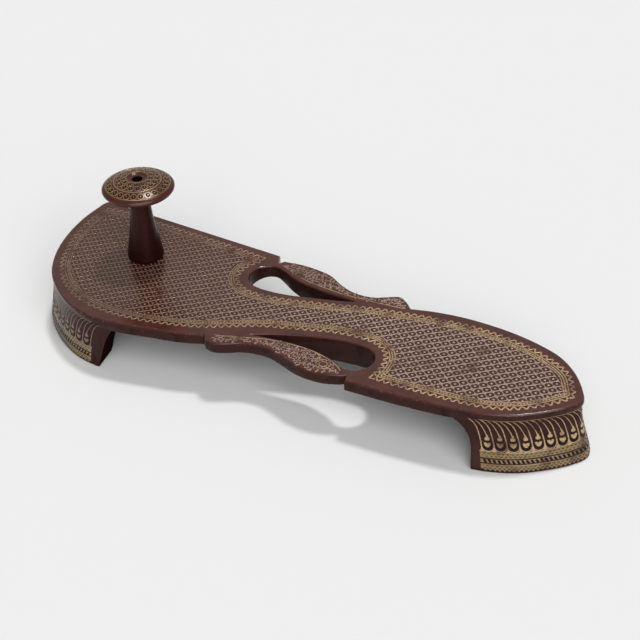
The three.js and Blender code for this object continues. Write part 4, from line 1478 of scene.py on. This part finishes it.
class PADUKA_OT_head_rings(bpy.types.Operator):
    """Paint the rings of eyes on the head"""

    bl_idname = "paduka.head_rings"
    bl_label = "Head rings"

    def execute(self, context):
        size = sizes()
        side = smooth(HEAD_SIDE, HEAD_STEP)
        crown = side[np.argmax(side[:, 0]):]
        crown = crown[np.argsort(crown[:, 0])]

        def place(turn, radius, lift):
            height = np.interp(radius, crown[:, 0], crown[:, 1]) + size["plate_top"] + lift
            x, y = POST_PLACE[0] + radius * np.cos(turn), POST_PLACE[1] + radius * np.sin(turn)
            return np.stack([x, y, height], -1)

        gold, dark = finish("bright_gold_paint"), finish("black_lacquer_paint")
        self.rings(place, gold)
        for name, radius, eye, count in EYE_ROWS:
            round_trip = 2 * math.pi * radius
            along = np.linspace(0, EYE_CHART_TURNS * round_trip, EYE_CHART_POINTS[0])
            across = np.linspace(0, EYE_CHART_RADIUS, EYE_CHART_POINTS[1])

            def chart_place(x, reach, lift):
                return place(-x / radius, reach, lift)

            for part, make, paint in (("gold", self.eye_gold, gold), ("black", self.eye_black, dark)):
                motif = make(Relief(flat_place(0.0), size["relief"]), radius, eye).mesh("motif", [])
                chart = chart_mesh("chart", chart_place, along, across)
                mesh = grow_nodes(f"head_{name}_{part}", chart, chart_tree, {
                    "Chart size": (along[-1] * MM, across[-1] * MM, 1.0),
                    "Start": (EYE_CHART_START * round_trip * MM, 0, 0),
                    "Step": (round_trip / count * MM, 0, 0), "Count": count, "Mirror from": count,
                    "Seed": size["seed"], "Loose": (EYE_LOOSE[0] * MM, EYE_LOOSE[1] * MM, 0),
                    "Motif": motif, "Mirrored motif": motif, "Finish": paint,
                })
                put(mesh.name, mesh)
        return {"FINISHED"}

    def rings(self, place, paint):
        """The plain rings between the rows of eyes."""
        surface = Surface()
        turn = np.linspace(0, 2 * math.pi, RING_SIDES, endpoint=False)
        for radius, width in HEAD_RINGS:
            rows = []
            for part, lift in RING_SECTION:
                rows.append(place(turn, np.full(RING_SIDES, radius + width * part), lift))
            surface.loft(rows)
        put("head_rings", surface.mesh("head_rings", [paint]))

    def eye_gold(self, gold, radius, eye):
        """The gold ring and spot of one eye."""
        gold.line(disc(0, radius, eye + EYE_RING, EYE_RING_SIDES), EYE_RING_WIDTH, closed=True)
        gold.spot(disc(0, radius, eye * EYE_GOLD_SPOT, EYE_GOLD_SIDES), EYE_GOLD_RISE)
        return gold

    def eye_black(self, dark, radius, eye):
        """The black of one eye."""
        dark.spot(disc(0, radius, eye, EYE_BLACK_SIDES), EYE_BLACK_RISE)
        return dark


class PADUKA_OT_stage(bpy.types.Operator):
    """Set the pale floor, the soft light and the camera"""

    bl_idname = "paduka.stage"
    bl_label = "Stage"

    def execute(self, context):
        scene, stage = context.scene, context.scene.paduka_stage
        self.floor(scene)
        self.lights(scene, stage)
        self.camera(scene, stage)
        scene.view_settings.view_transform = "Standard"
        return {"FINISHED"}

    def floor(self, scene):
        """A wide round floor, just under the feet."""
        surface = Surface()
        surface.cap(-FLOOR_DEPTH, disc(0, 0, FLOOR_RADIUS, FLOOR_SIDES))
        floor = bpy.data.objects.new("floor", surface.mesh("floor", [finish("matt_white_paper")]))
        scene.collection.objects.link(floor)

    def lights(self, scene, stage):
        """A dim white room, lights overhead and in front, and one behind for the lacquer's gleam."""
        world = bpy.data.worlds.new("white_room")
        world.use_nodes = True
        back = world.node_tree.nodes["Background"]
        back.inputs["Color"].default_value = (*scene.paduka_colours.room, 1.0)
        back.inputs["Strength"].default_value = stage.room_strength
        scene.world = world
        for name, tint, spread, towards in LIGHTS:
            light = bpy.data.lights.new(name, "SUN")
            light.color, light.angle = linear(tint), math.radians(spread)
            light.energy = getattr(stage, name + "_strength")
            lamp = bpy.data.objects.new(name, light)
            lamp.rotation_mode = "QUATERNION"
            lamp.rotation_quaternion = Vector(towards).to_track_quat("-Z", "Y")
            lamp.visible_diffuse = name != "back"
            scene.collection.objects.link(lamp)

    def camera(self, scene, stage):
        """The camera, rolled a little about its axis."""
        data = bpy.data.cameras.new("camera")
        data.sensor_width, data.lens = SENSOR_WIDTH, stage.lens
        camera = bpy.data.objects.new("camera", data)
        place, aim = Vector(stage.camera_place), Vector(stage.camera_aim)
        look = (aim - place).to_track_quat("-Z", "Y").to_matrix().to_4x4()
        camera.matrix_world = Matrix.Translation(place) @ look @ Matrix.Rotation(stage.camera_roll, 4, "Z")
        scene.collection.objects.link(camera)
        scene.camera = camera


OPERATORS = (
    PADUKA_OT_stage, PADUKA_OT_sole, PADUKA_OT_toe_post, PADUKA_OT_post_head, PADUKA_OT_field_net,
    PADUKA_OT_border, PADUKA_OT_leaf_bars, PADUKA_OT_wall_paint, PADUKA_OT_head_rings,
)
GROUPS = {"paduka_sizes": PadukaSizes, "paduka_colours": PadukaColours, "paduka_stage": PadukaStage}


class PADUKA_PT_sidebar(bpy.types.Panel):
    """Shows the sandal's sizes, colours and stage, and a button for each piece"""

    bl_idname = "PADUKA_PT_sidebar"
    bl_label = "Paduka"
    bl_space_type = "VIEW_3D"
    bl_region_type = "UI"
    bl_category = "Paduka"

    def draw(self, context):
        for group in GROUPS:
            properties = getattr(context.scene, group)
            box = self.layout.box()
            for name in properties.__annotations__:
                box.prop(properties, name)
        for operator in OPERATORS:
            self.layout.operator(operator.bl_idname)


def register():
    """Adds the sandal's properties, operators and panel to Blender."""
    for cls in (*GROUPS.values(), *OPERATORS, PADUKA_PT_sidebar):
        bpy.utils.register_class(cls)
    for name, group in GROUPS.items():
        setattr(bpy.types.Scene, name, PointerProperty(type=group))


def unregister():
    """Takes them out again, last first."""
    for name in GROUPS:
        delattr(bpy.types.Scene, name)
    for cls in reversed((*GROUPS.values(), *OPERATORS, PADUKA_PT_sidebar)):
        bpy.utils.unregister_class(cls)


def main():
    """Builds the sandal and its stage."""
    register()
    for operator in OPERATORS:
        family, name = operator.bl_idname.split(".")
        getattr(getattr(bpy.ops, family), name)()


if __name__ == "__main__":
    main()
